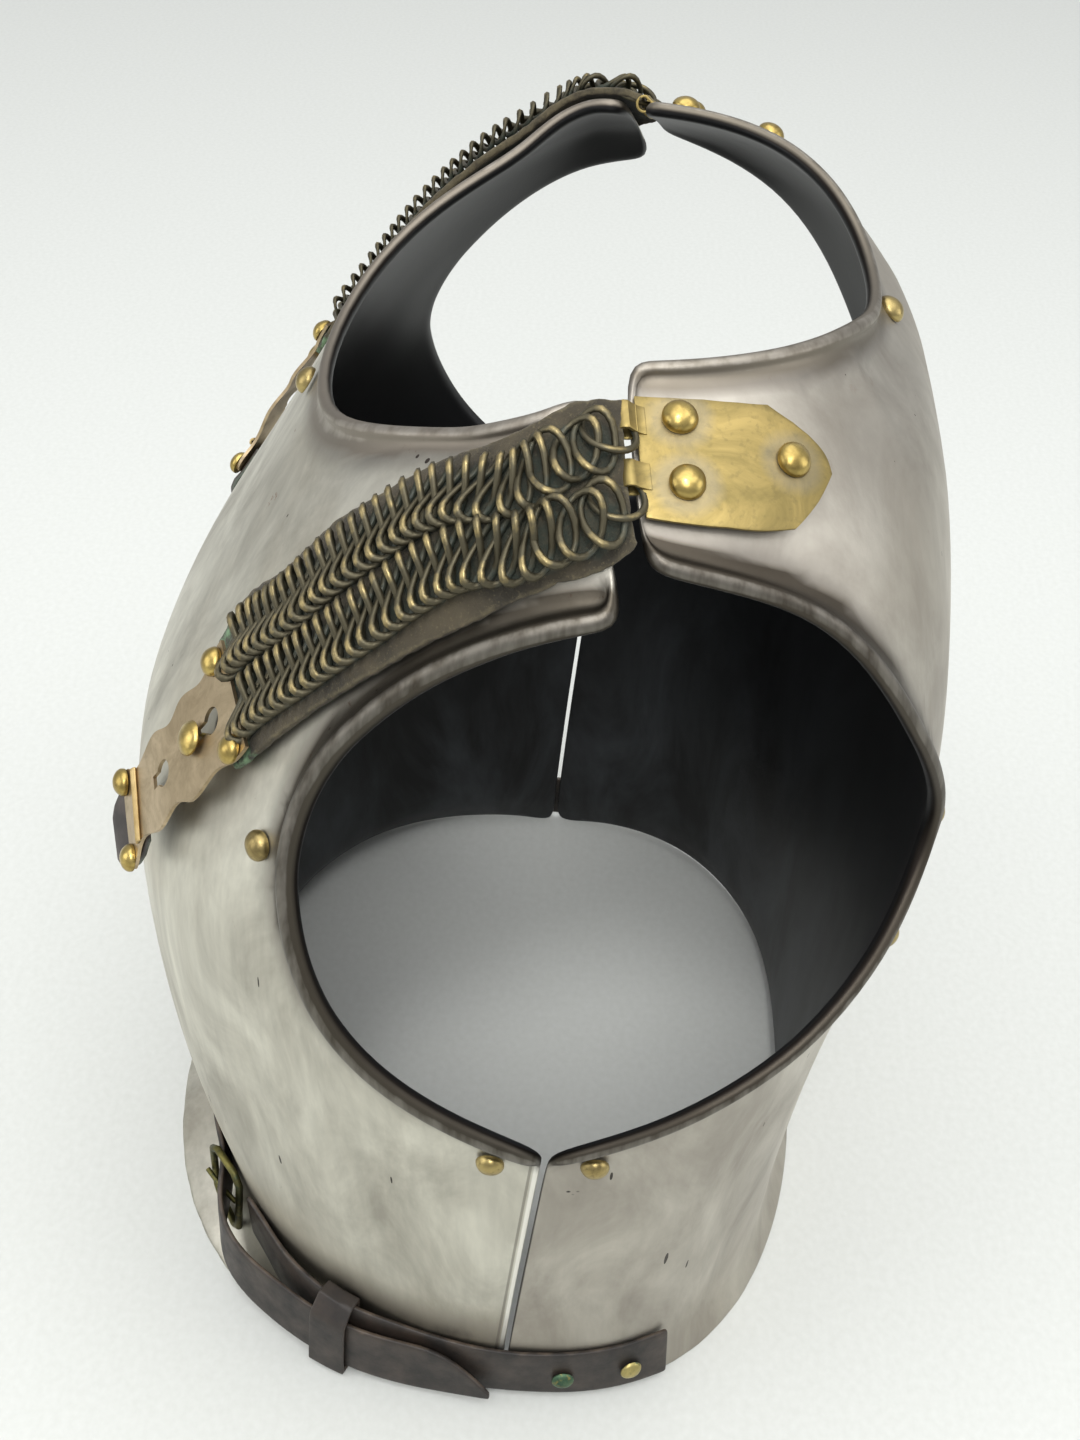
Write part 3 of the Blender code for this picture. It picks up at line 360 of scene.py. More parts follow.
def steel_finish(name, light, dark, warm, lips, rust, seed, cloudy, painted_light_strength, dots=(), shadowed_holes=()):
    """Wrought steel plate, burnished and long handled: satin, clouded by old cleaning in upright
    strokes, with small black pits and rust blooms. Inside it is left black from the forge. The
    lips are the rolled edge's browns at the neck and at the arm hole."""
    finish, tree, place = new_finish(name)
    mix = "ShaderNodeMix"
    grime, rim, roll, ridge, arm_edge, inside = (
        add_node(tree, "ShaderNodeAttribute", attribute_name=key).outputs["Fac"]
        for key in ("grime", "rim", "roll", "ridge", "arm_edge", "inside")
    )
    upright = add_node(
        tree, "ShaderNodeMapping",
        {"Vector": place, "Location": (seed, 0.0, 0.0), "Scale": (1.0, 1.0, 0.42)}
    )
    streak = add_node(
        tree, "ShaderNodeMapping",
        {"Vector": place, "Location": (0.0, seed, 0.0), "Scale": (1.0, 1.0, 0.10)}
    )
    # Clouds about 40 mm wide, strokes about 5 mm wide, a grain of about 1 mm.
    cloud = add_node(
        tree, "ShaderNodeTexNoise",
        {"Vector": upright.outputs[0], "Scale": 26.0, "Detail": 5.0, "Roughness": 0.62, "Distortion": 0.6}
    )
    stroke = add_node(
        tree, "ShaderNodeTexNoise",
        {"Vector": streak.outputs[0], "Scale": 190.0, "Detail": 3.0, "Roughness": 0.6}
    )
    grain = add_node(tree, "ShaderNodeTexNoise", {"Vector": place, "Scale": 900.0, "Detail": 2.0})
    broad = add_node(tree, "ShaderNodeTexNoise", {"Vector": place, "Scale": 9.0, "Detail": 2.0})
    clouded = add_node(tree, "ShaderNodeMapRange", {0: cloud.outputs[0], 1: 0.34, 2: 0.66})
    base = add_node(tree, mix, {0: clouded.outputs[0], 6: linear(dark), 7: linear(light)}, data_type="RGBA")
    stroked = add_node(
        tree, "ShaderNodeMapRange",
        {0: stroke.outputs[0], 1: 0.35, 2: 0.70, 3: 1.0 - cloudy, 4: 1.0 + cloudy * 0.4}
    )
    base = add_node(
        tree, mix, {0: 1.0, 6: base.outputs[2], 7: stroked.outputs[0]}, data_type="RGBA",
        blend_type="MULTIPLY"
    )
    coats = []  # how much of each colour lies over what is under it, from the metal up
    warmed = add_node(tree, "ShaderNodeMapRange", {0: broad.outputs[0], 1: 0.50, 2: 0.68, 4: 0.55})
    coats.append((warmed.outputs[0], linear(warm)))
    # Pits about half a millimetre wide, drawn out upright by the cleaning, in loose drifts.
    cells = add_node(tree, "ShaderNodeTexVoronoi", {"Vector": streak.outputs[0], "Scale": 170.0})
    drift = add_node(tree, "ShaderNodeTexNoise", {"Vector": place, "Scale": 34.0, "Detail": 2.0})
    reach = add_node(tree, "ShaderNodeMapRange", {0: drift.outputs[0], 1: 0.52, 2: 0.72, 3: 0.0, 4: 0.13})
    pitted = add_node(
        tree, "ShaderNodeMath", {0: cells.outputs["Distance"], 1: reach.outputs[0]},
        operation="LESS_THAN"
    )
    coats.append((pitted.outputs[0], linear("#39332E")))
    # Punched dots, about a millimetre across.
    for centre in dots:
        away = add_node(tree, "ShaderNodeVectorMath", {0: place, 1: centre}, operation="DISTANCE")
        punched = add_node(tree, "ShaderNodeMapRange", {0: away.outputs["Value"], 1: DOT_EDGE, 2: DOT_FULL})
        coats.append((punched.outputs[0], linear("#2A2522")))
    # Painted shadow: the steel is painted near black where a keyhole shows it, for the shade under the hook
    # plate.
    height = add_node(tree, "ShaderNodeSeparateXYZ", {0: place})
    aside = add_node(tree, "ShaderNodeMath", {0: height.outputs["X"]}, operation="ABSOLUTE")
    folded = add_node(
        tree, "ShaderNodeCombineXYZ",
        {0: aside.outputs[0], 1: height.outputs["Y"], 2: height.outputs["Z"]}
    )
    for centre in shadowed_holes:
        away = add_node(tree, "ShaderNodeVectorMath", {0: folded.outputs[0], 1: centre}, operation="DISTANCE")
        keyhole_shadowed = add_node(tree, "ShaderNodeMapRange", {0: away.outputs["Value"], 1: KEYHOLE_SHADOW_EDGE, 2: KEYHOLE_SHADOW_FULL})
        coats.append((keyhole_shadowed.outputs[0], linear("#1B1816")))
    # Beside the seam lies a painted highlight, standing for the lit crest of a beading that the plate's shape
    # lacks, between a painted shadow line and a dark line on the seam itself. The seam leans as it rises, so
    # its Y is worked out from the height.
    foot, notch = (trunk(*stop) for stop in SIDE_SEAM)
    lean = (notch.y - foot.y) / (notch.z - foot.z)
    aft = add_node(
        tree, "ShaderNodeMath", {0: height.outputs["Z"], 1: -lean, 2: height.outputs["Y"]},
        operation="MULTIPLY_ADD"
    )
    aft = add_node(
        tree, "ShaderNodeMath", {0: aft.outputs[0], 1: CENTRE_SHIFT + foot.y - lean * foot.z},
        operation="SUBTRACT"
    )
    aft = add_node(tree, "ShaderNodeMath", {0: aft.outputs[0]}, operation="ABSOLUTE")
    below = add_node(tree, "ShaderNodeMapRange", {0: height.outputs["Z"], 1: notch.z + 0.003, 2: notch.z})
    # Painted highlight, painted shadow line, and the seam's own dark line, each with its strength.
    for from_seam, half, strength, hue in (
        (BEAD_HIGHLIGHT_AT, BEAD_HIGHLIGHT_HALF, painted_light_strength, "#ECEAE2"),
        (SHADOW_AT, SHADOW_HALF, painted_light_strength * 0.6, "#5A534B"),
        (0.0, GAP_HALF, 0.9, "#2A2622"),
    ):
        aside = add_node(tree, "ShaderNodeMath", {0: aft.outputs[0], 1: from_seam}, operation="SUBTRACT")
        aside = add_node(tree, "ShaderNodeMath", {0: aside.outputs[0]}, operation="ABSOLUTE")
        lined = add_node(
            tree, "ShaderNodeMapRange", {0: aside.outputs[0], 1: half, 2: half * 0.6, 4: strength}
        )
        lined = add_node(
            tree, "ShaderNodeMath", {0: lined.outputs[0], 1: below.outputs[0]}, operation="MULTIPLY"
        )
        coats.append((lined.outputs[0], linear(hue)))
    # Painted shade: the steel just above the waist belt is darkened in clouds, for the belt's shadow and its
    # dark reflection there.
    rubbed = add_node(
        tree, "ShaderNodeMapRange",
        {0: height.outputs["Z"], 1: BELT_SHADE_TOP, 2: BELT_SHADE_HIGH, 4: 1.6 * painted_light_strength}
    )
    flange = add_node(tree, "ShaderNodeMapRange", {0: height.outputs["Z"], 1: BELT_SHADE_FOOT, 2: BELT_SHADE_LOW})
    rubbed = add_node(
        tree, "ShaderNodeMath", {0: rubbed.outputs[0], 1: flange.outputs[0]}, operation="MULTIPLY"
    )
    rubbed = add_node(
        tree, "ShaderNodeMath", {0: rubbed.outputs[0], 1: cloud.outputs[0]}, operation="MULTIPLY"
    )
    coats.append((rubbed.outputs[0], linear("#5A534C")))
    # Rust blooms, a few millimetres across, on the upper half.
    high = add_node(tree, "ShaderNodeMapRange", {0: height.outputs["Z"], 1: RUST_FROM, 2: RUST_FULL})
    bloom = add_node(
        tree, "ShaderNodeTexNoise",
        {"Vector": place, "Scale": 75.0, "Detail": 6.0, "Roughness": 0.7}
    )
    bloomed = add_node(tree, "ShaderNodeMapRange", {0: bloom.outputs[0], 1: 0.66, 2: 0.70, 4: rust})
    bloomed = add_node(
        tree, "ShaderNodeMath", {0: bloomed.outputs[0], 1: high.outputs[0]}, operation="MULTIPLY"
    )
    coats.append((bloomed.outputs[0], linear("#7A5A45")))
    # Grime gathers in a band beside the rolled edges.
    grimy = add_node(
        tree, "ShaderNodeMath", {0: grime, 1: cloud.outputs[0]}, operation="MULTIPLY"
    )
    coats.append((grimy.outputs[0], linear("#4B4440")))
    # The wired edge is browned, rubbed bright on top, and black where it turns under.
    browned = add_node(tree, "ShaderNodeMapRange", {0: roll, 4: 0.85})
    neck_lip, arm_lip = lips
    lip = add_node(
        tree, mix, {0: arm_edge, 6: linear(neck_lip), 7: linear(arm_lip)},
        data_type="RGBA"
    )
    coats.append((browned.outputs[0], lip.outputs[2]))
    worn = add_node(
        tree, "ShaderNodeMath", {0: ridge, 1: stroke.outputs[0]},
        operation="MULTIPLY"
    )
    worn = add_node(tree, "ShaderNodeMapRange", {0: worn.outputs[0], 1: 0.30, 2: 0.60, 4: 0.45})
    kept = add_node(tree, "ShaderNodeMapRange", {0: arm_edge, 3: 0.6, 4: 0.4})
    worn = add_node(tree, "ShaderNodeMath", {0: worn.outputs[0], 1: kept.outputs[0]}, operation="MULTIPLY")
    coats.append((worn.outputs[0], linear("#CFCAC0")))
    coats.append((rim, linear("#26221F")))
    # Forge black inside, with pale upright clouds low down.
    low = add_node(tree, "ShaderNodeMapRange", {0: height.outputs["Z"], 1: 0.05, 2: 0.22, 3: 1.0, 4: 0.04})
    misty = add_node(tree, "ShaderNodeMapRange", {0: cloud.outputs[0], 1: 0.36, 2: 0.86})
    misty = add_node(tree, "ShaderNodeMath", {0: misty.outputs[0], 1: low.outputs[0]}, operation="MULTIPLY")
    black = add_node(
        tree, mix, {0: misty.outputs[0], 6: linear("#070708"), 7: linear("#44484C")},
        data_type="RGBA"
    )
    coats.append((inside, black.outputs[2]))
    for amount, hue in coats:
        base = add_node(tree, mix, {0: amount, 6: base.outputs[2], 7: hue}, data_type="RGBA")
    satin = add_node(tree, "ShaderNodeMapRange", {0: cloud.outputs[0], 1: 0.3, 2: 0.7, 3: 0.54, 4: 0.44})
    rough = add_node(tree, mix, {0: inside, 2: satin.outputs[0], 3: 0.48}, data_type="FLOAT")
    bare = add_node(tree, "ShaderNodeMapRange", {0: inside, 3: 1.0, 4: 0.2})
    # Hammered hollows about 50 mm apart, then strokes and grain far finer.
    dent = add_node(tree, "ShaderNodeTexNoise", {"Vector": place, "Scale": 20.0, "Detail": 1.0})
    bump = add_node(tree, "ShaderNodeBump", {"Height": dent.outputs[0], "Strength": 0.5, "Distance": 0.0022})
    fine = add_node(tree, "ShaderNodeMath", {0: stroke.outputs[0], 1: grain.outputs[0]}, operation="ADD")
    bump = add_node(
        tree, "ShaderNodeBump",
        {"Height": fine.outputs[0], "Normal": bump.outputs[0], "Strength": 0.25, "Distance": 0.00012}
    )
    close_finish(tree, base.outputs[2], bump.outputs[0], Metallic=bare.outputs[0], Roughness=rough.outputs[0])
    return finish


def brass_finish(name, bright, dull, stain, tarnish, roughness, halo=()):
    """Rolled brass, gone dull in clouds, with a ring of stain round each fastening."""
    finish, tree, place = new_finish(name)
    mix = "ShaderNodeMix"
    cloud = add_node(
        tree, "ShaderNodeTexNoise",
        {"Vector": place, "Scale": 60.0, "Detail": 5.0, "Roughness": 0.65, "Distortion": 1.0}
    )
    speck = add_node(tree, "ShaderNodeTexNoise", {"Vector": place, "Scale": 520.0, "Detail": 3.0})
    clouded = add_node(tree, "ShaderNodeMapRange", {0: cloud.outputs[0], 1: 0.36, 2: 0.64})
    base = add_node(tree, mix, {0: clouded.outputs[0], 6: linear(bright), 7: linear(dull)}, data_type="RGBA")
    coats = []  # how much of each colour lies over what is under it, from the metal up
    specked = add_node(tree, "ShaderNodeMapRange", {0: speck.outputs[0], 1: 0.56, 2: 0.70, 4: tarnish})
    coats.append((specked.outputs[0], linear(stain)))
    if halo:
        split = add_node(tree, "ShaderNodeSeparateXYZ", {0: place})
        across = add_node(tree, "ShaderNodeMath", {0: split.outputs["X"]}, operation="ABSOLUTE")
        folded = add_node(
            tree, "ShaderNodeCombineXYZ",
            {0: across.outputs[0], 1: split.outputs["Y"], 2: split.outputs["Z"]}
        )
        for centre, radius in halo:
            away = add_node(
                tree, "ShaderNodeVectorMath", {0: folded.outputs[0], 1: centre},
                operation="DISTANCE"
            )
            ragged = add_node(
                tree, "ShaderNodeMath",
                {0: cloud.outputs[0], 1: -radius * 0.5, 2: away.outputs["Value"]},
                operation="MULTIPLY_ADD"
            )
            ring = add_node(
                tree, "ShaderNodeMapRange",
                {0: ragged.outputs[0], 1: radius * 0.95, 2: radius * 0.55, 4: 0.4}
            )
            coats.append((ring.outputs[0], linear("#8A8578")))
    for amount, hue in coats:
        base = add_node(tree, mix, {0: amount, 6: base.outputs[2], 7: hue}, data_type="RGBA")
    rough = add_node(
        tree, "ShaderNodeMapRange",
        {0: cloud.outputs[0], 1: 0.3, 2: 0.7, 3: roughness - 0.06, 4: roughness + 0.08}
    )
    bump = add_node(tree, "ShaderNodeBump", {"Height": cloud.outputs[0], "Strength": 0.4, "Distance": 0.0004})
    bump = add_node(
        tree, "ShaderNodeBump",
        {"Height": speck.outputs[0], "Normal": bump.outputs[0], "Strength": 0.3, "Distance": 0.00008}
    )
    close_finish(tree, base.outputs[2], bump.outputs[0], Metallic=1.0, Roughness=rough.outputs[0])
    return finish


def chain_finish(name, worn, aged, crust):
    """Drawn brass wire, bent into links: dark with age, rubbed to gold on top, and green-grey in
    the hollows. The wear attribute is 1 on a link's crests."""
    finish, tree, place = new_finish(name)
    mix = "ShaderNodeMix"
    cloud = add_node(
        tree, "ShaderNodeTexNoise",
        {"Vector": place, "Scale": 240.0, "Detail": 4.0, "Roughness": 0.6}
    )
    wear = add_node(tree, "ShaderNodeAttribute", attribute_name="wear")
    rubbed = add_node(
        tree, "ShaderNodeMath", {0: cloud.outputs[0], 1: 0.9, 2: wear.outputs["Fac"]},
        operation="MULTIPLY_ADD"
    )
    gold = add_node(tree, "ShaderNodeMapRange", {0: rubbed.outputs[0], 1: 1.24, 2: 1.54})
    green = add_node(tree, "ShaderNodeMapRange", {0: rubbed.outputs[0], 1: 0.78, 2: 0.48})
    base = add_node(tree, mix, {0: gold.outputs[0], 6: linear(aged), 7: linear(worn)}, data_type="RGBA")
    base = add_node(tree, mix, {0: green.outputs[0], 6: base.outputs[2], 7: linear(crust)}, data_type="RGBA")
    metal = add_node(tree, "ShaderNodeMapRange", {0: green.outputs[0], 3: 0.85, 4: 0.1})
    rough = add_node(tree, "ShaderNodeMapRange", {0: gold.outputs[0], 3: 0.52, 4: 0.30})
    bump = add_node(tree, "ShaderNodeBump", {"Height": cloud.outputs[0], "Strength": 0.4, "Distance": 0.0002})
    close_finish(
        tree, base.outputs[2], bump.outputs[0], Metallic=metal.outputs[0],
        Roughness=rough.outputs[0]
    )
    return finish


def suede_finish(name, nap, deep, scuffed, verdigris_and_shade):
    """Buff leather worn to suede: a matt nap of grains under a millimetre, pale and fuzzy along the
    edges, and stained green by the brass, near black where it is also painted shade under the chains.
    The edge attribute is 1 at the border, green where the chains and plates touch, bloom where
    the brass's green crust has grown by the hook plate."""
    finish, tree, place = new_finish(name)
    mix = "ShaderNodeMix"
    fuzz = add_node(
        tree, "ShaderNodeTexNoise",
        {"Vector": place, "Scale": 1100.0, "Detail": 3.0, "Roughness": 0.7}
    )
    tuft = add_node(
        tree, "ShaderNodeTexNoise",
        {"Vector": place, "Scale": 330.0, "Detail": 4.0, "Roughness": 0.65}
    )
    patch = add_node(tree, "ShaderNodeTexNoise", {"Vector": place, "Scale": 70.0, "Detail": 3.0})
    spread = add_node(tree, "ShaderNodeMapRange", {0: patch.outputs[0], 1: 0.35, 2: 0.65})
    base = add_node(tree, mix, {0: spread.outputs[0], 6: linear(deep), 7: linear(nap)}, data_type="RGBA")
    coats = []  # how much of each colour lies over what is under it
    edge = add_node(tree, "ShaderNodeAttribute", attribute_name="edge")
    hairs = add_node(
        tree, "ShaderNodeMath", {0: tuft.outputs[0], 1: edge.outputs["Fac"]}, operation="MULTIPLY"
    )
    scuffs = add_node(tree, "ShaderNodeMapRange", {0: hairs.outputs[0], 1: 0.34, 2: 0.66, 4: 0.45})
    coats.append((scuffs.outputs[0], linear(scuffed)))
    flecked = add_node(tree, "ShaderNodeMapRange", {0: fuzz.outputs[0], 1: 0.58, 2: 0.68, 4: 0.4})
    coats.append((flecked.outputs[0], linear(scuffed)))
    # The green stain by the brass, dark enough to be painted shade under the chains as well.
    green = add_node(tree, "ShaderNodeAttribute", attribute_name="green")
    green_stain_and_shade = add_node(
        tree, "ShaderNodeMath", {0: green.outputs["Fac"], 1: tuft.outputs[0]}, operation="MULTIPLY"
    )
    green_stain_and_shade = add_node(tree, "ShaderNodeMapRange", {0: green_stain_and_shade.outputs[0], 1: 0.25, 2: 0.60, 4: 0.85})
    coats.append((green_stain_and_shade.outputs[0], linear(verdigris_and_shade)))
    bloom = add_node(tree, "ShaderNodeAttribute", attribute_name="bloom")
    bloomed = add_node(
        tree, "ShaderNodeMath", {0: bloom.outputs["Fac"], 1: tuft.outputs[0]}, operation="MULTIPLY"
    )
    bloomed = add_node(tree, "ShaderNodeMapRange", {0: bloomed.outputs[0], 1: 0.40, 2: 0.62, 4: 0.8})
    coats.append((bloomed.outputs[0], linear("#6E8C68")))
    for amount, hue in coats:
        base = add_node(tree, mix, {0: amount, 6: base.outputs[2], 7: hue}, data_type="RGBA")
    bump = add_node(tree, "ShaderNodeBump", {"Height": tuft.outputs[0], "Strength": 0.7, "Distance": 0.0008})
    bump = add_node(
        tree, "ShaderNodeBump",
        {"Height": fuzz.outputs[0], "Normal": bump.outputs[0], "Strength": 0.7, "Distance": 0.0003}
    )
    close_finish(
        tree, base.outputs[2], bump.outputs[0], Roughness=0.95, Sheen_Weight=0.06,
        Sheen_Roughness=0.5
    )
    return finish


def belt_finish(name, grain_side, deep, scuffed):
    """Bridle leather, waxed and dark with age: a smooth grain side with a low shine, fine
    creases, and a raw paler edge."""
    finish, tree, place = new_finish(name)
    mix = "ShaderNodeMix"
    crease = add_node(
        tree, "ShaderNodeTexNoise",
        {"Vector": place, "Scale": 700.0, "Detail": 3.0, "Roughness": 0.6}
    )
    cloud = add_node(
        tree, "ShaderNodeTexNoise",
        {"Vector": place, "Scale": 85.0, "Detail": 4.0, "Roughness": 0.6}
    )
    spread = add_node(tree, "ShaderNodeMapRange", {0: cloud.outputs[0], 1: 0.35, 2: 0.68})
    base = add_node(
        tree, mix, {0: spread.outputs[0], 6: linear(deep), 7: linear(grain_side)}, data_type="RGBA"
    )
    edge = add_node(tree, "ShaderNodeAttribute", attribute_name="edge")
    rubbed = add_node(
        tree, "ShaderNodeMath", {0: edge.outputs["Fac"], 1: cloud.outputs[0]}, operation="MULTIPLY"
    )
    rubbed = add_node(tree, "ShaderNodeMapRange", {0: rubbed.outputs[0], 1: 0.30, 2: 0.65, 4: 0.8})
    base = add_node(
        tree, mix, {0: rubbed.outputs[0], 6: base.outputs[2], 7: linear(scuffed)}, data_type="RGBA"
    )
    rough = add_node(tree, "ShaderNodeMapRange", {0: cloud.outputs[0], 1: 0.3, 2: 0.7, 3: 0.58, 4: 0.42})
    bump = add_node(tree, "ShaderNodeBump", {"Height": cloud.outputs[0], "Strength": 0.4, "Distance": 0.0006})
    bump = add_node(
        tree, "ShaderNodeBump",
        {"Height": crease.outputs[0], "Normal": bump.outputs[0], "Strength": 0.35, "Distance": 0.00012}
    )
    close_finish(tree, base.outputs[2], bump.outputs[0], Roughness=rough.outputs[0])
    return finish


def backdrop_finish(colour):
    """Seamless paper, matt, with the faintest tooth."""
    finish, tree, place = new_finish("Seamless paper")
    tooth = add_node(tree, "ShaderNodeTexNoise", {"Vector": place, "Scale": 300.0, "Detail": 2.0})
    bump = add_node(
        tree, "ShaderNodeBump", {"Height": tooth.outputs[0], "Strength": 0.05, "Distance": 0.0002}
    )
    base = add_node(
        tree, "ShaderNodeMix", {0: tooth.outputs[0], 6: linear(colour), 7: linear("#D2D4D0")},
        data_type="RGBA"
    )
    close_finish(tree, base.outputs[2], bump.outputs[0], Roughness=0.75)
    return finish


def nearest_place(places):
    """A balanced tree that finds the nearest of these places."""
    tree = kdtree.KDTree(len(places))
    for i, place in enumerate(places):
        tree.insert(place, i)
    tree.balance()
    return tree


def set_numbers(obj, name, number_of):
    """Gives each vertex a number that the finish reads."""
    layer = obj.data.attributes.new(name, "FLOAT", "POINT")
    layer.data.foreach_set("value", [number_of(vertex) for vertex in obj.data.vertices])


# ---------------------------------------------------------------- the two steel plates
def edge_finder(stops):
    """A function that gives, for a point of a plate, how far it is from this edge, how far across
    the edge, and the steel's way out there. The right half is folded onto the left."""
    path = smooth_path(stops)
    count = 160
    places = [trunk(*path(i / count)) for i in range(count + 1)]
    outs = [trunk_normal(*path(i / count)) for i in range(count + 1)]
    ways = []
    for i, out in enumerate(outs):
        along = places[min(i + 1, count)] - places[max(i - 1, 0)]
        ways.append(along.cross(out).normalized())
    edge = nearest_place(places)

    def find(point):
        folded = Vector((abs(point.x), point.y - CENTRE_SHIFT, point.z))
        place, index, away = edge.find(folded)
        return away, abs((folded - place).dot(ways[index])), outs[index]

    return find


# radius of the rolled edge at the arm hole, and at the neck
BREAST_ROLLS = (0.0040, 0.0028)
BACK_ROLLS = (0.0032, 0.0028)
ROLL_WITHIN, ROLL_BEYOND = 1.9, 2.3  # in those radii from the edge's line, where the roll fades


def plate_piece(node, name, arm_stops, neck_stops, rolls, finish, grime_reach):
    """A plate: the CAD solid's copy, merged, squared and subdivided smooth. Its points are given
    numbers for the finish: rim under the rolled edge, roll all over it, ridge on its crest,
    arm_edge on the arm hole's roll, grime beside the rolls, inside on the hollow side."""
    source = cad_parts[node]
    plate = own_copy(source, name, source.matrix_world)
    plate.matrix_world = Matrix.Identity(4)
    edit_all(
        plate,
        (bpy.ops.mesh.remove_doubles, {"threshold": 0.00002}),
        (
            bpy.ops.mesh.tris_convert_to_quads,
            {"face_threshold": math.radians(60), "shape_threshold": math.radians(60)}
        ),
    )
    apply_modifier(plate, "SUBSURF", levels=2, render_levels=2)
    for face in plate.data.polygons:
        face.use_smooth = True
    arm_roll, neck_roll = rolls
    near_arm, near_neck = edge_finder(arm_stops), edge_finder(neck_stops)
    marks = {"rim": [], "roll": [], "ridge": [], "arm_edge": [], "grime": [], "inside": []}
    for vertex in plate.data.vertices:
        arm_away, arm_across, arm_out = near_arm(vertex.co)
        neck_away, neck_across, neck_out = near_neck(vertex.co)
        arm = 1 - smooth_step(arm_roll * ROLL_WITHIN, arm_roll * ROLL_BEYOND, arm_away)
        neck = 1 - smooth_step(neck_roll * ROLL_WITHIN, neck_roll * ROLL_BEYOND, neck_away)
        across = arm_across / arm_roll if arm >= neck else neck_across / neck_roll
        normal = vertex.normal.copy()
        facing = Vector((math.copysign(normal.x, normal.x * vertex.co.x), normal.y, normal.z))
        facing = facing.dot(arm_out if arm >= neck else neck_out)
        roll = max(arm, neck)
        near = min(arm_away - arm_roll * 2, neck_away - neck_roll * 2)
        way_out = outward(vertex.co - Vector((0, CENTRE_SHIFT, 0))).normalized()
        marks["rim"].append(roll * (1 - smooth_step(-0.15, 0.45, facing)))
        marks["roll"].append(roll)
        marks["ridge"].append(
            roll * smooth_step(0.45, 0.85, facing) * (1 - smooth_step(0.5, 1.3, across))
        )
        marks["arm_edge"].append(float(arm >= neck and arm > 0))
        marks["grime"].append(1 - smooth_step(0.0, grime_reach, abs(near)))
        marks["inside"].append(smooth_step(0.05, -0.25, normal.dot(way_out)))
    for key, numbers in marks.items():
        set_numbers(plate, key, lambda vertex, numbers=numbers: numbers[vertex.index])
    dress(plate, finish)
    return plate


# ---------------------------------------------------------------- turned fastenings
# name, degrees round, section
LINING_STUDS = (
    ("breast_arm", -39.8, 3.57),
    ("breast_side", -3.9, 1.93),
    ("back_side", 7.2, 1.95),
    ("back_arm_low", 57.0, 2.70),
    ("back_arm_high", 65.5, 3.28),
)
CENTRE_STUDS = (("breast_neck", -89.999, 4.62), ("back_neck", 89.999, 5.78))
TONGUE_RIVETS = ((14.8, 6.50), (15.1, 6.18), (36.4, 6.16))
PUNCHED = (5.0, 1.71)  # where three small dots are, under the backplate's side stud
TONGUE_LIFT = 0.0018  # how far the tongue plate lies off the steel
BRASS_SHEET = 0.0012


def domed_head(radius, height, collar):
    """A hammered rivet head: half a sphere, flattened, on a short edge and a thin collar."""
    deselect()
    bpy.ops.mesh.primitive_uv_sphere_add(segments=28, ring_count=16, radius=radius)
    head = bpy.context.object
    edit_all(head, (bpy.ops.mesh.bisect, {"plane_co": (0, 0, 0), "plane_no": (0, 0, 1), "clear_inner": True}))
    pick(head)
    bpy.ops.object.mode_set(mode="EDIT")
    bpy.ops.mesh.select_all(action="SELECT")
    bpy.ops.mesh.region_to_loop()
    bpy.ops.mesh.extrude_region_move(TRANSFORM_OT_translate={"value": (0, 0, -radius * 0.12)})
    bpy.ops.transform.resize(value=(1.0 - collar, 1.0 - collar, 1.0))
    bpy.ops.mesh.extrude_region_move(TRANSFORM_OT_translate={"value": (0, 0, -radius * 0.05)})
    bpy.ops.transform.resize(value=(0.80, 0.80, 1.0))
    bpy.ops.mesh.edge_face_add()
    bpy.ops.mesh.select_all(action="SELECT")
    bpy.ops.mesh.normals_make_consistent(inside=False)
    bpy.ops.object.mode_set(mode="OBJECT")
    low = min(vertex.co.z for vertex in head.data.vertices)
    high = max(vertex.co.z for vertex in head.data.vertices)
    for vertex in head.data.vertices:
        vertex.co.z = (vertex.co.z - low) / (high - low) * height
        dent = noise.noise(vertex.co * 260.0) * radius * 0.05
        vertex.co += vertex.co.normalized() * dent if vertex.co.z > height * 0.2 else Vector()
    soft_shading(head, 35)
    return head


def standing(place, way, spin=0.0):
    """A matrix that stands a turned piece on a surface."""
    upright = way.to_track_quat("Z", "Y").to_matrix().to_4x4()
    return Matrix.Translation(place) @ upright @ Matrix.Rotation(spin, 4, "Z")


def head_pair(pattern, name, place, way, finish, slot):
    """Two copies of a head, on the wearer's left and right."""
    for number, (side, mirror) in enumerate((("left", Matrix.Identity(4)), ("right", MIRROR))):
        head = own_copy(pattern, f"domed_{name}_{side}", mirror @ standing(place, way, place.z * 90 + number))
        dress(head, finish)
        settle(head, slot, f"{name}_{side}")


# ---------------------------------------------------------------- shoulder straps
STRAP_ARM_EDGE = (
    (-47.4, 3.77), (-43.1, 4.05), (-37.9, 4.28), (-27.9, 4.60), (-21.9, 4.77),
    (-15.6, 4.93), (-8.7, 5.14), (-2.3, 5.30), (7.2, 5.78),
)
STRAP_NECK_EDGE = (
    (-63.2, 3.95), (-62.5, 4.22), (-56.0, 4.52), (-51.6, 4.80), (-47.4, 5.08),
    (-45.0, 5.34), (-43.3, 5.62), (-37.8, 5.97), (-31.0, 6.15), (-20.0, 6.33), (-8.8, 6.46),
    (5.0, 6.57),
)
# share of the length, how far the leather lies off the steel at its arm edge and its neck edge
STRAP_LIFTS = (
    (0.00, 0.0024, 0.0024),
    (0.20, 0.0018, 0.0018),
    (0.56, 0.0018, 0.0024),
    (0.68, 0.0020, 0.0042),
    (0.76, 0.0020, 0.0052),
    (0.96, 0.0014, 0.0052),
    (1.00, 0.0010, 0.0036),
)
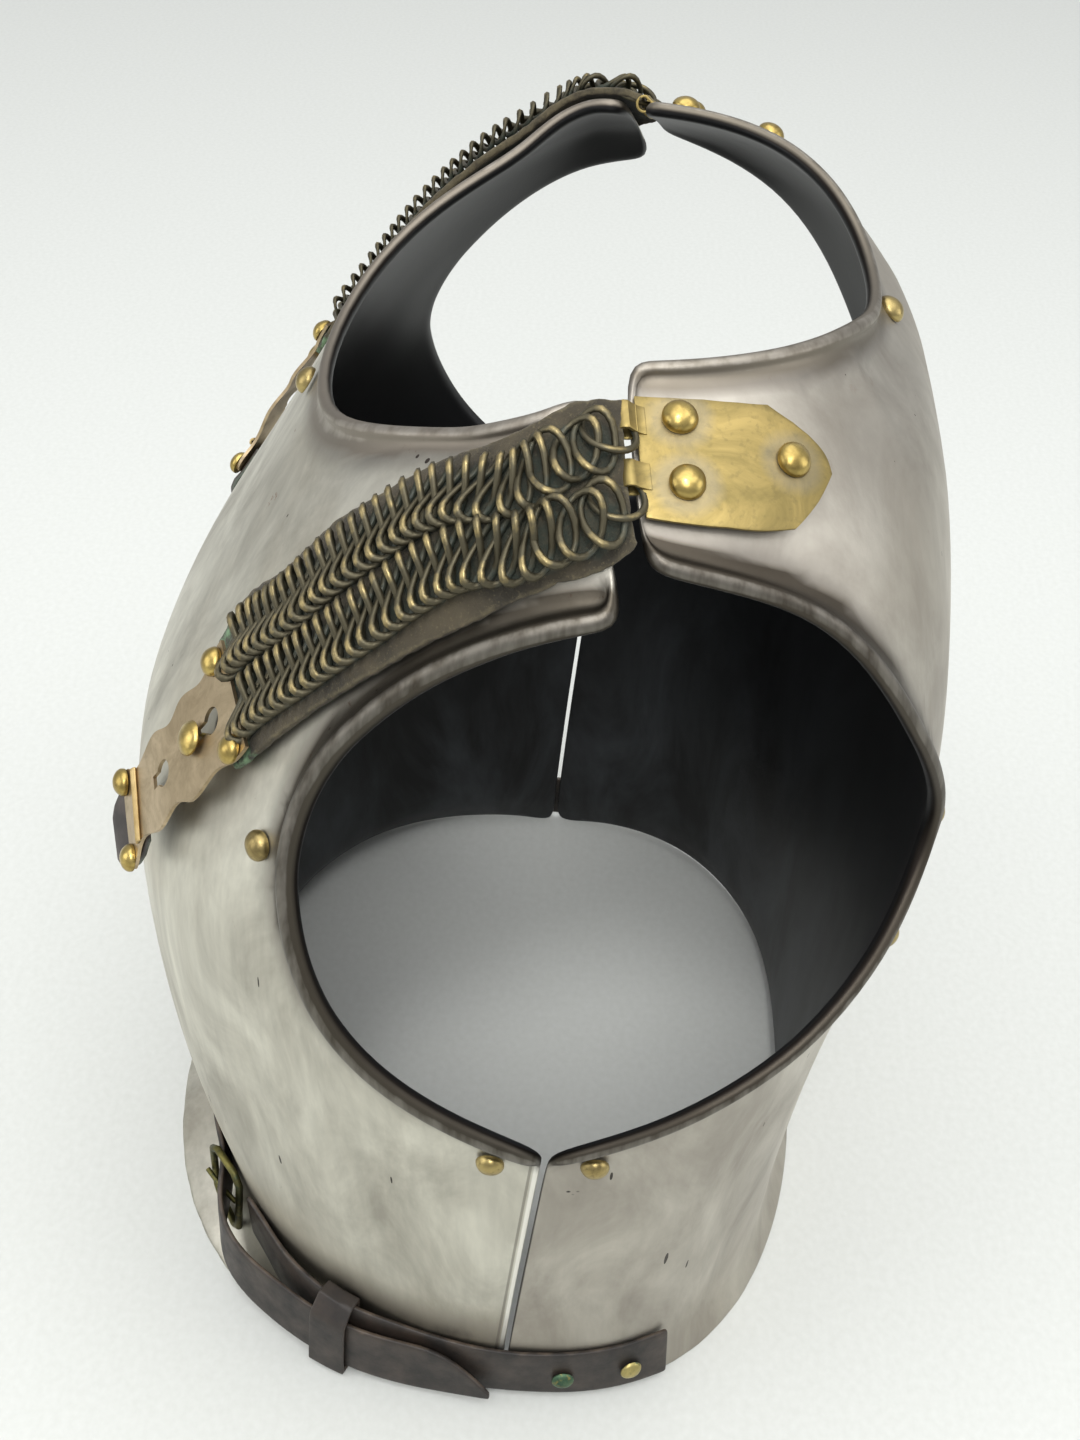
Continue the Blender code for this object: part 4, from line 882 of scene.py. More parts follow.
# The part of the leather's length under the chains' route. The links stop a ring short of its end.
CHAIN_SHARES = (0.10, 0.955)
# Where the two chains lie across the leather: share of the length, the arm's, the neck's.
CHAIN_LINES = (
    (0.00, 0.27, 0.69),
    (0.50, 0.28, 0.69),
    (0.80, 0.35, 0.73),
    (1.00, 0.41, 0.80),
)
STRAP_MIDDLE, STRAP_TOP = 0.00125, 0.0025  # in the leather's thickness, and on its face
STRAP_LOW, STRAP_HIGH = even_path(STRAP_ARM_EDGE), even_path(STRAP_NECK_EDGE)


def chain_line(line, share):
    """Where a chain lies across the leather, smoothed along it."""
    steps = [min(max(share + step, 0.0), 1.0) for step in (-0.10, -0.05, 0.0, 0.05, 0.10)]
    return sum(read_off(CHAIN_LINES, step)[line] for step in steps) / len(steps)


def strap_point(share, row, lift):
    """A point off the steel under the shoulder strap, share being 0 at the breast."""
    low, high = STRAP_LOW(share), STRAP_HIGH(share)
    arm_lift, neck_lift = read_off(STRAP_LIFTS, share)
    turn = low[0] + (high[0] - low[0]) * row
    section = low[1] + (high[1] - low[1]) * row
    return lifted(turn, section, arm_lift + (neck_lift - arm_lift) * row**3 + lift)


# ---------------------------------------------------------------- tongue plates
TONGUE_ARM_EDGE = (
    (8.6, 5.99), (14.6, 5.93), (20.7, 5.86), (26.5, 5.76), (32.1, 5.68), (38.8, 5.81), (44.3, 5.94)
)
TONGUE_NECK_EDGE = (
    (7.2, 6.61), (13.5, 6.60), (19.8, 6.58), (27.0, 6.54), (33.9, 6.49), (38.9, 6.36), (41.8, 6.26)
)
TONGUE_LUGS = ((0.28, 0.50, 0.0050), (0.72, 0.92, 0.0074))  # from, to across the front edge, rise
LUG_RUN = 0.0052  # how far a lug stands out before it rolls
LUG_LIFT = 0.35  # how far up its rise a lug stands where it rolls
LUG_ROLL = 0.0022  # radius of the roll
LUG_FLAT = 0.4  # share of the lug's strip that comes before the roll
LUG_TURN = 300  # degrees of the roll
LUG_SHEET = 0.0009


def lug_frame(low, high):
    """A lug's root at the plate's front edge, between these shares of it, its way ahead and up."""
    root = tongue_point(0.04, (low + high) / 2, 0.0006)
    turn, section = TONGUE_ARM_EDGE[0]
    up = trunk_normal(turn, section + (low + high) / 3)
    ahead = Vector((0, -1, 0))
    return root, (ahead - up * ahead.dot(up)).normalized(), up


def tongue_point(along, across, lift):
    """A point of the tongue plate: along 0 at its front edge, across 0 at the arm hole's side."""
    at = along * (len(TONGUE_ARM_EDGE) - 1)
    i = min(int(at), len(TONGUE_ARM_EDGE) - 2)
    low, high = (
        [a + (b - a) * (at - i) for a, b in zip(edge[i], edge[i + 1])]
        for edge in (TONGUE_ARM_EDGE, TONGUE_NECK_EDGE)
    )
    turn = low[0] + (high[0] - low[0]) * across
    section = low[1] + (high[1] - low[1]) * across
    if at > len(TONGUE_ARM_EDGE) - 2:
        turn += 1.4 * math.sin(math.pi * across) * (at - i)
    return lifted(turn, section, TONGUE_LIFT + lift)


# ---------------------------------------------------------------- hook plates
HOOK_START = (-53.70, 3.920)  # between the rivets at the strap, as degrees round and section
HOOK_END = (-60.3, 2.94)  # between the rivets at the tip
HOOK_ACROSS = ((0.365, -0.0034), (0.307, -0.0085))  # the step toward the arm at each of them
# Stations down the hook plate are on a scale that is 0 at the strap's rivets and HOOK_LENGTH at
# the tip's. The real run between them is 74 mm, which is 0.76 of what the scale says.
HOOK_LENGTH = 0.097
HOOK_SIDE_STEPS = 5  # how many of those steps, either way, give the direction across
# station, half width, lift
HOOK_STATIONS = (
    (-0.008, 0.0205, 0.0058),
    (0.003, 0.0195, 0.0058),
    (0.011, 0.0168, 0.0059),
    (0.016, 0.0164, 0.0060),
    (0.027, 0.0180, 0.0064),
    (0.034, 0.0172, 0.0066),
    (0.041, 0.0142, 0.0068),
    (0.0495, 0.0148, 0.0070),
    (0.057, 0.0162, 0.0070),
    (0.068, 0.0142, 0.0069),
    (0.077, 0.0122, 0.0068),
    (0.086, 0.0134, 0.0067),
    (0.092, 0.0158, 0.0066),
    (0.102, 0.0160, 0.0066),
)
KEYHOLES = ((0.0105, 0.0185), (0.0515, 0.0590))  # stations of the round hole and the slot's end
KEYHOLE_RADIUS = 0.0044
KEYHOLE_SLOT = 0.0046  # width of the slot
STRAP_RIVETS = 0.0165  # from the middle line to each rivet
TIP_RIVETS = 0.0128
HOOK_RIVET_SHARE = 0.94  # radius of the hook plate's rivets, as a share of the large heads'
STUD_AT = 0.0235  # station of the breast button
BUTTON_RADIUS, BUTTON_DOME = 0.0056, 0.0034  # radius and height of the button's head
BUTTON_STEM_RADIUS, BUTTON_STEM_LENGTH = 0.0023, 0.0086
CROSSBAR_AT = 0.082  # station of the raised crossbar
CROSSBAR_WIDTH = 0.0030
CROSSBAR_SHEET = 0.0010
TAB_LEATHER = 0.0021
# station, half width, lift
TAB_STATIONS = (
    (0.084, 0.0115, 0.0036),
    (0.094, 0.0135, 0.0036),
    (0.102, 0.0140, 0.0044),
    (0.108, 0.0132, 0.0062),
    (0.114, 0.0105, 0.0076),
    (0.118, 0.0070, 0.0082),
)
HOOK_HALF = natural_spline([row[0] for row in HOOK_STATIONS], [row[1] for row in HOOK_STATIONS])
HOOK_LIFT = natural_spline([row[0] for row in HOOK_STATIONS], [row[2] for row in HOOK_STATIONS])


def hook_frame(station):
    """The steel under the hook plate's middle line: place, outward way, way toward the arm."""
    share = station / HOOK_LENGTH
    turn, section = (a + (b - a) * share for a, b in zip(HOOK_START, HOOK_END))
    d_turn, d_section = (a + (b - a) * share for a, b in zip(*HOOK_ACROSS))
    d_turn, d_section = d_turn * HOOK_SIDE_STEPS, d_section * HOOK_SIDE_STEPS
    ahead = trunk(turn + d_turn, section + d_section)
    behind = trunk(turn - d_turn, section - d_section)
    return trunk(turn, section), trunk_normal(turn, section), (ahead - behind).normalized()


def hook_point(station, across, lift):
    """A point over the hook plate's line: this far toward the arm, and this far off the steel."""
    place, way, toward_arm = hook_frame(station)
    return place + way * lift + toward_arm * across


# ---------------------------------------------------------------- waist belt
BELT_LEATHER = 0.0024
BELT_WIDTH = 0.027
# degrees round (past -90 on the wearer's right), height of the lower edge, stand-off low, high
BELT_LEFT = (
    (-52.0, 0.0165, 0.0010, 0.0010), (-46.0, 0.0160, 0.0012, 0.0012), (-40.0, 0.0140, 0.0034, 0.0034),
    (-33.0, 0.0125, 0.0042, 0.0042), (-26.0, 0.0100, 0.0040, 0.0040), (-20.0, 0.0075, 0.0014, 0.0014),
    (-13.0, 0.0050, 0.0005, 0.0005), (-6.0, 0.0035, 0.0004, 0.0008), (0.0, 0.0030, 0.0004, 0.0010),
    (8.0, 0.0030, 0.0006, 0.0006), (18.0, 0.0030, 0.0008, 0.0008), (28.0, 0.0030, 0.0010, 0.0010),
)
BELT_RIGHT = (
    (-208.0, 0.0030, 0.0010, 0.0010), (-198.0, 0.0030, 0.0008, 0.0008), (-188.0, 0.0030, 0.0006, 0.0006),
    (-180.0, 0.0030, 0.0004, 0.0010), (-174.0, 0.0035, 0.0010, 0.0010), (-167.0, 0.0050, 0.0021, 0.0014),
    (-157.0, 0.0090, 0.0021, 0.0014), (-147.0, 0.0130, 0.0021, 0.0014), (-135.0, 0.0170, 0.0021, 0.0014),
    (-122.0, 0.0190, 0.0021, 0.0014), (-110.0, 0.0200, 0.0021, 0.0014), (-100.0, 0.0200, 0.0021, 0.0014),
    (-90.0, 0.0200, 0.0021, 0.0014), (-80.0, 0.0200, 0.0021, 0.0014), (-72.0, 0.0195, 0.0021, 0.0014),
    (-66.0, 0.0185, 0.0020, 0.0020), (-62.5, 0.0175, 0.0018, 0.0018), (-59.0, 0.0160, 0.0045, 0.0050),
    (-55.5, 0.0135, 0.0090, 0.0110), (-51.0, 0.0105, 0.0110, 0.0150), (-46.0, 0.0075, 0.0080, 0.0150),
    (-41.0, 0.0058, 0.0054, 0.0128), (-36.0, 0.0050, 0.0046, 0.0114), (-30.0, 0.0045, 0.0046, 0.0108),
    (-23.0, 0.0036, 0.0042, 0.0090), (-16.0, 0.0030, 0.0034, 0.0060), (-10.0, 0.0030, 0.0034, 0.0054),
)
BELT_TIP = (-3.4, 0.0085, 0.0075)  # degrees round, height, stand-off of the right strap's point
KEEPER_TURNS = (-31.2, -28.2, -25.2)  # its two ends and its middle, degrees round
KEEPER_LEATHER = 0.0017
KEEPER_ROOM = 0.0009  # between the keeper and the straps inside it
BELT_RIVETS = ((19.5, 0.0155), (6.5, 0.0150))  # degrees round, height
BELT_RIVET_RADIUS, BELT_RIVET_HEIGHT = 0.0045, 0.0026
BUCKLE_WIRE = 0.0016  # radius of the cast frame
BUCKLE_REAR = (-54.2, 0.0115, 0.0475)  # degrees round, heights of the lower and upper corner
BUCKLE_FRONT = (-62.6, 0.0140, 0.0485)
BUCKLE_CLIP = 0.0045  # how far each corner is cut back
PRONG_WIRE = 0.0011


def waist_way(turn):
    waist = trunk(turn, 0.0)
    return Vector((waist.x, waist.y * 1.15, 0.0)).normalized()


def flare_at(turn, flare):
    centre, side = flare
    return side + (centre - side) * abs(math.sin(math.radians(turn))) ** 1.3


def steel_reach(turn, height):
    """How far the steel stands outside the waist line at this height."""
    if height < FLANGE_HEIGHT:
        drop = 1 - height / FLANGE_HEIGHT
        return flare_at(turn, BREAST_FLARE if turn < 0 else BACK_FLARE) * drop**1.35
    rise = (height - FLANGE_HEIGHT) / (SECTIONS[1][0] - SECTIONS[0][0])
    return (trunk(turn, rise) - trunk(turn, 0.0)).dot(waist_way(turn))


def belt_point(turn, height, off):
    """A point off the steel at the waist. Past -90 degrees it is on the wearer's right."""
    mirrored = turn < -90
    if mirrored:
        turn = -180 - turn
    turn = max(turn, -89.99)
    place = trunk(turn, 0.0) + waist_way(turn) * (steel_reach(turn, height) + off)
    place.z = height
    if mirrored:
        place.x = -place.x
    return place


def belt_face(stations, turn, height):
    """A point of the strap's outer face and the way out of it."""
    low_height, low_off, high_off = read_off(stations, turn)
    low = belt_point(turn, low_height, low_off)
    high = belt_point(turn, low_height + BELT_WIDTH, high_off)
    ahead = belt_point(turn + 2, low_height, low_off)
    way = (ahead - low).cross(high - low).normalized()
    return low.lerp(high, (height - low_height) / BELT_WIDTH) + way * BELT_LEATHER, way


def edge_mask(obj, reach, border):
    """The edge attribute: 1 at a sheet's border, fading over the reach. It is taken from the
    border's own points, which are given as places."""
    near = nearest_place(border)
    set_numbers(obj, "edge", lambda v: 1 - smooth_step(reach * 0.3, reach, near.find(v.co)[2]))


# ---------------------------------------------------------------- what a user may change
class CuirassSizes(bpy.types.PropertyGroup):
    """Sizes of the fittings."""

    strap_leather: bpy.props.FloatProperty(
        name="Strap leather", description="Thickness of the shoulder straps' buff leather",
        default=0.0025, unit="LENGTH"
    )
    belt_rounding: bpy.props.FloatProperty(
        name="Belt edge", description="Rounding of the waist belt's edges", default=0.0006,
        unit="LENGTH"
    )
    link_wire: bpy.props.FloatProperty(
        name="Link wire", description="Radius of the chain links' wire", default=0.00106,
        unit="LENGTH"
    )
    link_length: bpy.props.FloatProperty(
        name="Link length", description="Length of a chain link, outside", default=0.0102,
        unit="LENGTH"
    )
    link_width: bpy.props.FloatProperty(
        name="Link width", description="Width of a chain link, outside", default=0.0200,
        unit="LENGTH"
    )
    link_pitch: bpy.props.FloatProperty(
        name="Link pitch", description="Spacing of the links along a row", default=0.0050,
        unit="LENGTH"
    )
    link_twist: bpy.props.FloatProperty(
        name="Link twist", description="How far a curb link is twisted out of flat", default=0.0026,
        unit="LENGTH"
    )
    rivet_radius: bpy.props.FloatProperty(
        name="Rivet head", description="Radius of the large brass rivet heads", default=0.0050,
        unit="LENGTH"
    )
    rivet_height: bpy.props.FloatProperty(
        name="Rivet height", description="Height of the large brass rivet heads", default=0.0042,
        unit="LENGTH"
    )
    stud_radius: bpy.props.FloatProperty(
        name="Lining stud", description="Radius of the lining studs", default=0.0048, unit="LENGTH"
    )
    stud_height: bpy.props.FloatProperty(
        name="Stud height", description="Height of the lining studs", default=0.0044, unit="LENGTH"
    )


class CuirassColours(bpy.types.PropertyGroup):
    """Colours of the finishes, as sRGB hex."""

    steel_light: bpy.props.StringProperty(
        name="Steel, light", description="Burnished clouds of the breastplate", default="#D2CFC2"
    )
    steel_dark: bpy.props.StringProperty(
        name="Steel, dark", description="Dull clouds of the breastplate", default="#A8A498"
    )
    back_light: bpy.props.StringProperty(
        name="Back steel, light", description="Light tone of the backplate", default="#BEB9AE"
    )
    back_dark: bpy.props.StringProperty(
        name="Back steel, dark", description="Dark tone of the backplate", default="#9C968C"
    )
    brass: bpy.props.StringProperty(
        name="Brass", description="Clean brass of the large rivets and the button", default="#C3AC68"
    )
    brass_dull: bpy.props.StringProperty(
        name="Brass, dull", description="Dull clouds of the large rivets", default="#8F7B46"
    )
    bronze: bpy.props.StringProperty(name="Bronze", description="Hook plates", default="#BDA98A")
    leather: bpy.props.StringProperty(
        name="Strap leather", description="Nap of the shoulder straps", default="#433C2D"
    )
    belt: bpy.props.StringProperty(
        name="Belt leather", description="Grain side of the waist belt", default="#352C25"
    )
    paper: bpy.props.StringProperty(name="Backdrop", description="Floor and backdrop", default="#C6C8C3")


def sizes():
    return bpy.context.scene.cuirass_sizes


def colours():
    return bpy.context.scene.cuirass_colours


FINISHES = {}


def finish_of(name):
    """Each finish is made once, when a piece first asks for it."""
    if name in FINISHES:
        return FINISHES[name]
    hues = colours()
    tongue_halo = [(in_frame(lifted(*stop, 0.003)), TONGUE_STAIN) for stop in TONGUE_RIVETS]
    dots = [
        in_frame(trunk(*PUNCHED)) + Vector((0.0002, 0.0016 * i - 0.0016, -0.0022 * (i % 2)))
        for i in range(3)
    ]
    # Spots of painted shadow on the breast steel, seen through each keyhole of the hook plates.
    keyhole_shade_spots = [
        in_frame(hook_frame((hole + slot_end) / 2)[0]) + KEYHOLE_SHADOW_SHIFT
        for hole, slot_end in KEYHOLES
    ]
    # name, bright, dull, stain, how much of the stain shows, roughness, what it is stained round
    brasses = {
        "stud_brass": ("Dulled stud brass", "#AC9A66", "#7D6E4A", "#5A4D33", 0.45, 0.36),
        "worn_belt_rivet": ("Worn belt rivet brass", "#BFAE72", "#8A8355", "#4A6351", 0.80, 0.40),
        "rivet_brass": ("Hammered rivet brass", hues.brass, hues.brass_dull, "#6B5A34", 0.35, 0.30),
        "bar_brass": ("Worn crossbar brass", "#C4AD7C", "#A38C5E", "#75674F", 0.15, 0.45),
        "tongue_brass": ("Rolled tongue brass", "#A18E5A", "#83754A", "#665C40", 0.30, 0.50, tongue_halo),
        "hook_bronze": ("Rolled hook bronze", hues.bronze, "#9C8B6E", "#75674F", 0.20, 0.40),
        "belt_rivet": ("Verdigris rivet brass", "#66805F", "#3E5648", "#9C8A4E", 0.60, 0.50),
        "buckle_brass": ("Aged buckle brass", "#77703F", "#4A4A34", "#33443A", 0.70, 0.45),
    }
    makers = {
        "breast_steel": lambda: steel_finish(
            "Burnished breast steel", hues.steel_light, hues.steel_dark, "#B3A995",
            ("#7E766B", "#30291F"), rust=0.85, seed=0.0, cloudy=0.10, painted_light_strength=0.9, shadowed_holes=keyhole_shade_spots,
        ),
        "back_steel": lambda: steel_finish(
            "Burnished back steel", hues.back_light, hues.back_dark, "#A39B8E",
            ("#746D61", "#30291F"), rust=0.15, seed=3.0, cloudy=0.05, painted_light_strength=0.0, dots=dots,
        ),
        "chain_brass": lambda: chain_finish("Aged chain wire", "#94845A", "#544F3F", "#343A32"),
        # The suede's last colour is the brass's green stain darkened near black, partly painted shade under
        # the chains.
        "suede": lambda: suede_finish("Worn buff suede", hues.leather, "#28241B", "#6A6148", "#232D26"),
        "tab_leather": lambda: belt_finish("Dark tab leather", "#4A413C", "#2B2624", "#5F6D60"),
        "belt_leather": lambda: belt_finish("Waxed bridle leather", hues.belt, "#1C1815", "#5E5246"),
    }
    FINISHES[name] = brass_finish(*brasses[name]) if name in brasses else makers[name]()
    return FINISHES[name]


# ---------------------------------------------------------------- lamps and camera
# name, place, what it points at, size, watts
SOFTBOXES = (
    ("overhead_softbox", (0.1, 0.1, 1.9), (0, 0, 0.2), 2.2, 31.0),
    ("front_softbox", (0.7, -1.9, 1.0), (0, 0, 0.2), 1.4, 13.0),
    ("back_softbox", (0.3, 2.0, 0.9), (0, 0, 0.2), 1.2, 9.0),
    ("side_softbox", (1.35, 0.05, 1.55), (-0.1, 0, 0), 0.7, 9.0),
)
# A narrow soft beam through the near arm hole, onto the floor inside.
BEAM_PLACE, BEAM_TARGET = (0.75, 0.05, 1.55), (-0.06, 0.03, 0.0)
BEAM_POWER, BEAM_DEGREES, BEAM_RADIUS = 38.0, 11, 0.12
CAMERA_PLACE = (0.4909, 0.0313, 0.6621)
CAMERA_TURNS = (-0.0435, -0.7348, 0.0423)  # yaw from -X, pitch and roll, in radians
CAMERA_LENS = 42.5
FLOOR_SIZE = 6.0


def pointed(name, lamp, place, target):
    """Hangs a lamp at this place, pointed at the target."""
    holder = bpy.data.objects.new(name, lamp)
    bpy.context.scene.collection.objects.link(holder)
    holder.location = place
    holder.rotation_euler = (Vector(target) - Vector(place)).to_track_quat("-Z", "Y").to_euler()


# ---------------------------------------------------------------- operators
class CUIRASS_OT_plates(bpy.types.Operator):
    """Breastplate and backplate, smoothed from the frame's solids"""

    bl_idname = "cuirass.plates"
    bl_label = "Steel plates"

    def execute(self, context):
        breast = plate_piece(
            "breastplate", "burnished_breastplate", BREAST_ARM, BREAST_NECK, BREAST_ROLLS,
            finish_of("breast_steel"), grime_reach=0.010,
        )
        settle(breast, "steel", "breastplate", shift=False)
        back = plate_piece(
            "backplate", "burnished_backplate", BACK_ARM, BACK_NECK, BACK_ROLLS,
            finish_of("back_steel"), grime_reach=0.006,
        )
        settle(back, "steel", "backplate", shift=False)
        return {"FINISHED"}


class CUIRASS_OT_studs(bpy.types.Operator):
    """Lining studs round the edges of the plates"""

    bl_idname = "cuirass.studs"
    bl_label = "Lining studs"

    def execute(self, context):
        pattern = domed_head(sizes().stud_radius, sizes().stud_height, 0.02)
        finish = finish_of("stud_brass")
        for name, turn, section in LINING_STUDS:
            head_pair(
                pattern, f"lining_stud_{name}", lifted(turn, section, 0.0004),
                trunk_normal(turn, section), finish, "brass"
            )
        for name, turn, section in CENTRE_STUDS:
            way = trunk_normal(turn, section)
            way.x = 0.0
            place = lifted(turn, section, 0.0004)
            place.x = 0.0
            head = own_copy(pattern, f"domed_lining_stud_{name}", standing(place, way.normalized()))
            dress(head, finish)
            settle(head, "brass", f"lining_stud_{name}")
        bpy.data.objects.remove(pattern)
        return {"FINISHED"}


class CUIRASS_OT_tongue_plates(bpy.types.Operator):
    """Brass tongue plates on the shoulders, with their rolled lugs and rivets"""

    bl_idname = "cuirass.tongue_plates"
    bl_label = "Tongue plates"

    def execute(self, context):
        sheet = bent_sheet("tongue_sheet", 36, 24, lambda along, across: tongue_point(along, across, 0.0))
        thicken(sheet, BRASS_SHEET, 0.0003)
        lugs = []
        for low, high, rise in TONGUE_LUGS:
            def lug_point(along, across, low=low, high=high, rise=rise):
                """Along the strip: out from the plate's edge, then rolled down round the ring."""
                _, ahead, up = lug_frame(low, high)
                root = tongue_point(0.04, low + (high - low) * across, 0.0006)
                if along < LUG_FLAT:
                    share = along / LUG_FLAT
                    return root + ahead * LUG_RUN * share + up * rise * LUG_LIFT * share**2
                angle = math.radians(90 - (along - LUG_FLAT) / (1 - LUG_FLAT) * LUG_TURN)
                hub = root + ahead * LUG_RUN + up * (rise * LUG_LIFT - LUG_ROLL)
                return hub + ahead * math.cos(angle) * LUG_ROLL + up * math.sin(angle) * LUG_ROLL

            lug = bent_sheet("tongue_lug", 28, 6, lug_point)
            # The first face tells which side of a rolled strip is out.
            upper = lug.data.polygons[0]
            if upper.normal.dot(outward(upper.center)) < 0:
                edit_all(lug, (bpy.ops.mesh.flip_normals, {}))
            thicken(lug, LUG_SHEET, 0.0002)
            lugs.append(lug)
        plate = joined("shaped_tongue_plate_left", [sheet, *lugs])
        soft_shading(plate, 40)
        dress(plate, finish_of("tongue_brass"))
        settle_pair(plate, "brass", "tongue_plate")
        pattern = domed_head(sizes().rivet_radius, sizes().rivet_height, 0.02)
        for i, (turn, section) in enumerate(TONGUE_RIVETS):
            place = lifted(turn, section, TONGUE_LIFT + BRASS_SHEET)
            head_pair(
                pattern, f"tongue_rivet_{i + 1}", place, trunk_normal(turn, section),
                finish_of("rivet_brass"), "brass"
            )
        bpy.data.objects.remove(pattern)
        return {"FINISHED"}


class CUIRASS_OT_strap_leathers(bpy.types.Operator):
    """Buff leather under the chains, worn to suede"""

    bl_idname = "cuirass.strap_leathers"
    bl_label = "Strap leathers"

    def execute(self, context):
        leather = bent_sheet(
            "worn_strap_leather_left", 110, 26,
            lambda along, across: strap_point(along, across, 0.0),
        )
        shares = [i / 160 for i in range(161)]
        border = [strap_point(share, row, STRAP_MIDDLE) for share in shares for row in (0.0, 1.0)]
        border += [
            strap_point(share, row / 24, STRAP_MIDDLE) for share in (0.0, 1.0) for row in range(25)
        ]
        thicken(leather, sizes().strap_leather, 0.0008, 3)
        edge_mask(leather, 0.0034, border)
        # Green lies under the chains and along the hook plate, and the bloom is by the plate alone.
        rows = [
            strap_point(share, chain_line(line, share), STRAP_TOP)
            for share in shares
            if 0.05 < share < 0.95
            for line in (0, 1)
        ]
        rows += [strap_point(0.02, row / 12, STRAP_TOP) for row in range(13)]
        brass = nearest_place(rows)
        # Green stain and painted shade under the chains, fading beyond them.
        set_numbers(leather, "green", lambda v: 1 - smooth_step(0.006, 0.0125, brass.find(v.co)[2]))
        hook_end = nearest_place([strap_point(0.035, row / 12, STRAP_TOP) for row in range(13)])
        set_numbers(leather, "bloom", lambda v: 1 - smooth_step(0.003, 0.014, hook_end.find(v.co)[2]))
        for vertex in leather.data.vertices:
            # The nap stands uneven by up to 0.4 mm, in tufts of about 2.4 mm.
            fine = vertex.co * 420.0
            shifts = (Vector((0, 0, 0)), Vector((9, 0, 0)), Vector((0, 9, 0)))
            vertex.co += Vector([noise.noise(fine + shift) for shift in shifts]) * 0.0004
        soft_shading(leather, 60)
        dress(leather, finish_of("suede"))
        settle_pair(leather, "suede", "strap_leather")
        return {"FINISHED"}


def curb_link(length, width, wire, twist, slant, around=20, sides=6):
    """One twisted curb link, flat on the ground: along X, across Y, with its wear on the crests.
    It is a round ring first, and each cross-section of the wire is then moved to its place."""
    round_radius = 0.01
    deselect()
    bpy.ops.mesh.primitive_torus_add(
        major_segments=around, minor_segments=sides, major_radius=round_radius, minor_radius=wire
    )
    link = bpy.context.object
    half_length, half_width = length / 2 - wire, width / 2 - wire
    wear = []
    for vertex in link.data.vertices:
        angle = math.atan2(vertex.co.y, vertex.co.x)
        off = math.hypot(vertex.co.x, vertex.co.y) - round_radius
        rise = vertex.co.z
        side = Vector((half_width * math.cos(angle), half_length * math.sin(angle), 0.0)).normalized()
        centre = Vector(
            (half_length * math.cos(angle), half_width * math.sin(angle), twist * math.sin(2 * angle))
        )
        vertex.co = centre + side * off
        vertex.co.z += rise
        vertex.co.x += slant * vertex.co.y
        wear.append(min(max((vertex.co.z + twist) / (2 * twist + wire), 0.0), 1.0))
    set_numbers(link, "wear", lambda v: wear[v.index])
    for face in link.data.polygons:
        face.use_smooth = True
    return link


END_RING = 0.0150  # from a lug's roll to the middle of the last link
LAST_PITCH = 0.0072  # spacing of the last two links, which are pulled apart
LINK_SLANT = 0.42  # how far a link is skewed along the row, for each unit across it
OPEN_LINK_SLANT = 0.25
END_RING_SHAPE = (0.0180, 0.0175, 0.00100, 0.0006, 0.10)  # length, width, wire, twist, slant
END_RING_BACK = 0.0080  # from the lug's roll to the ring's middle


def chain_route(line, lift, steps=260):
    """Places along a chain, with the run so far."""
    start, stop = CHAIN_SHARES
    shares = [start + (stop - start) * i / steps for i in range(steps + 1)]
    places = [strap_point(share, chain_line(line, share), lift) for share in shares]
    runs = [0.0]
    for a, b in zip(places, places[1:]):
        runs.append(runs[-1] + (b - a).length)
    return places, runs


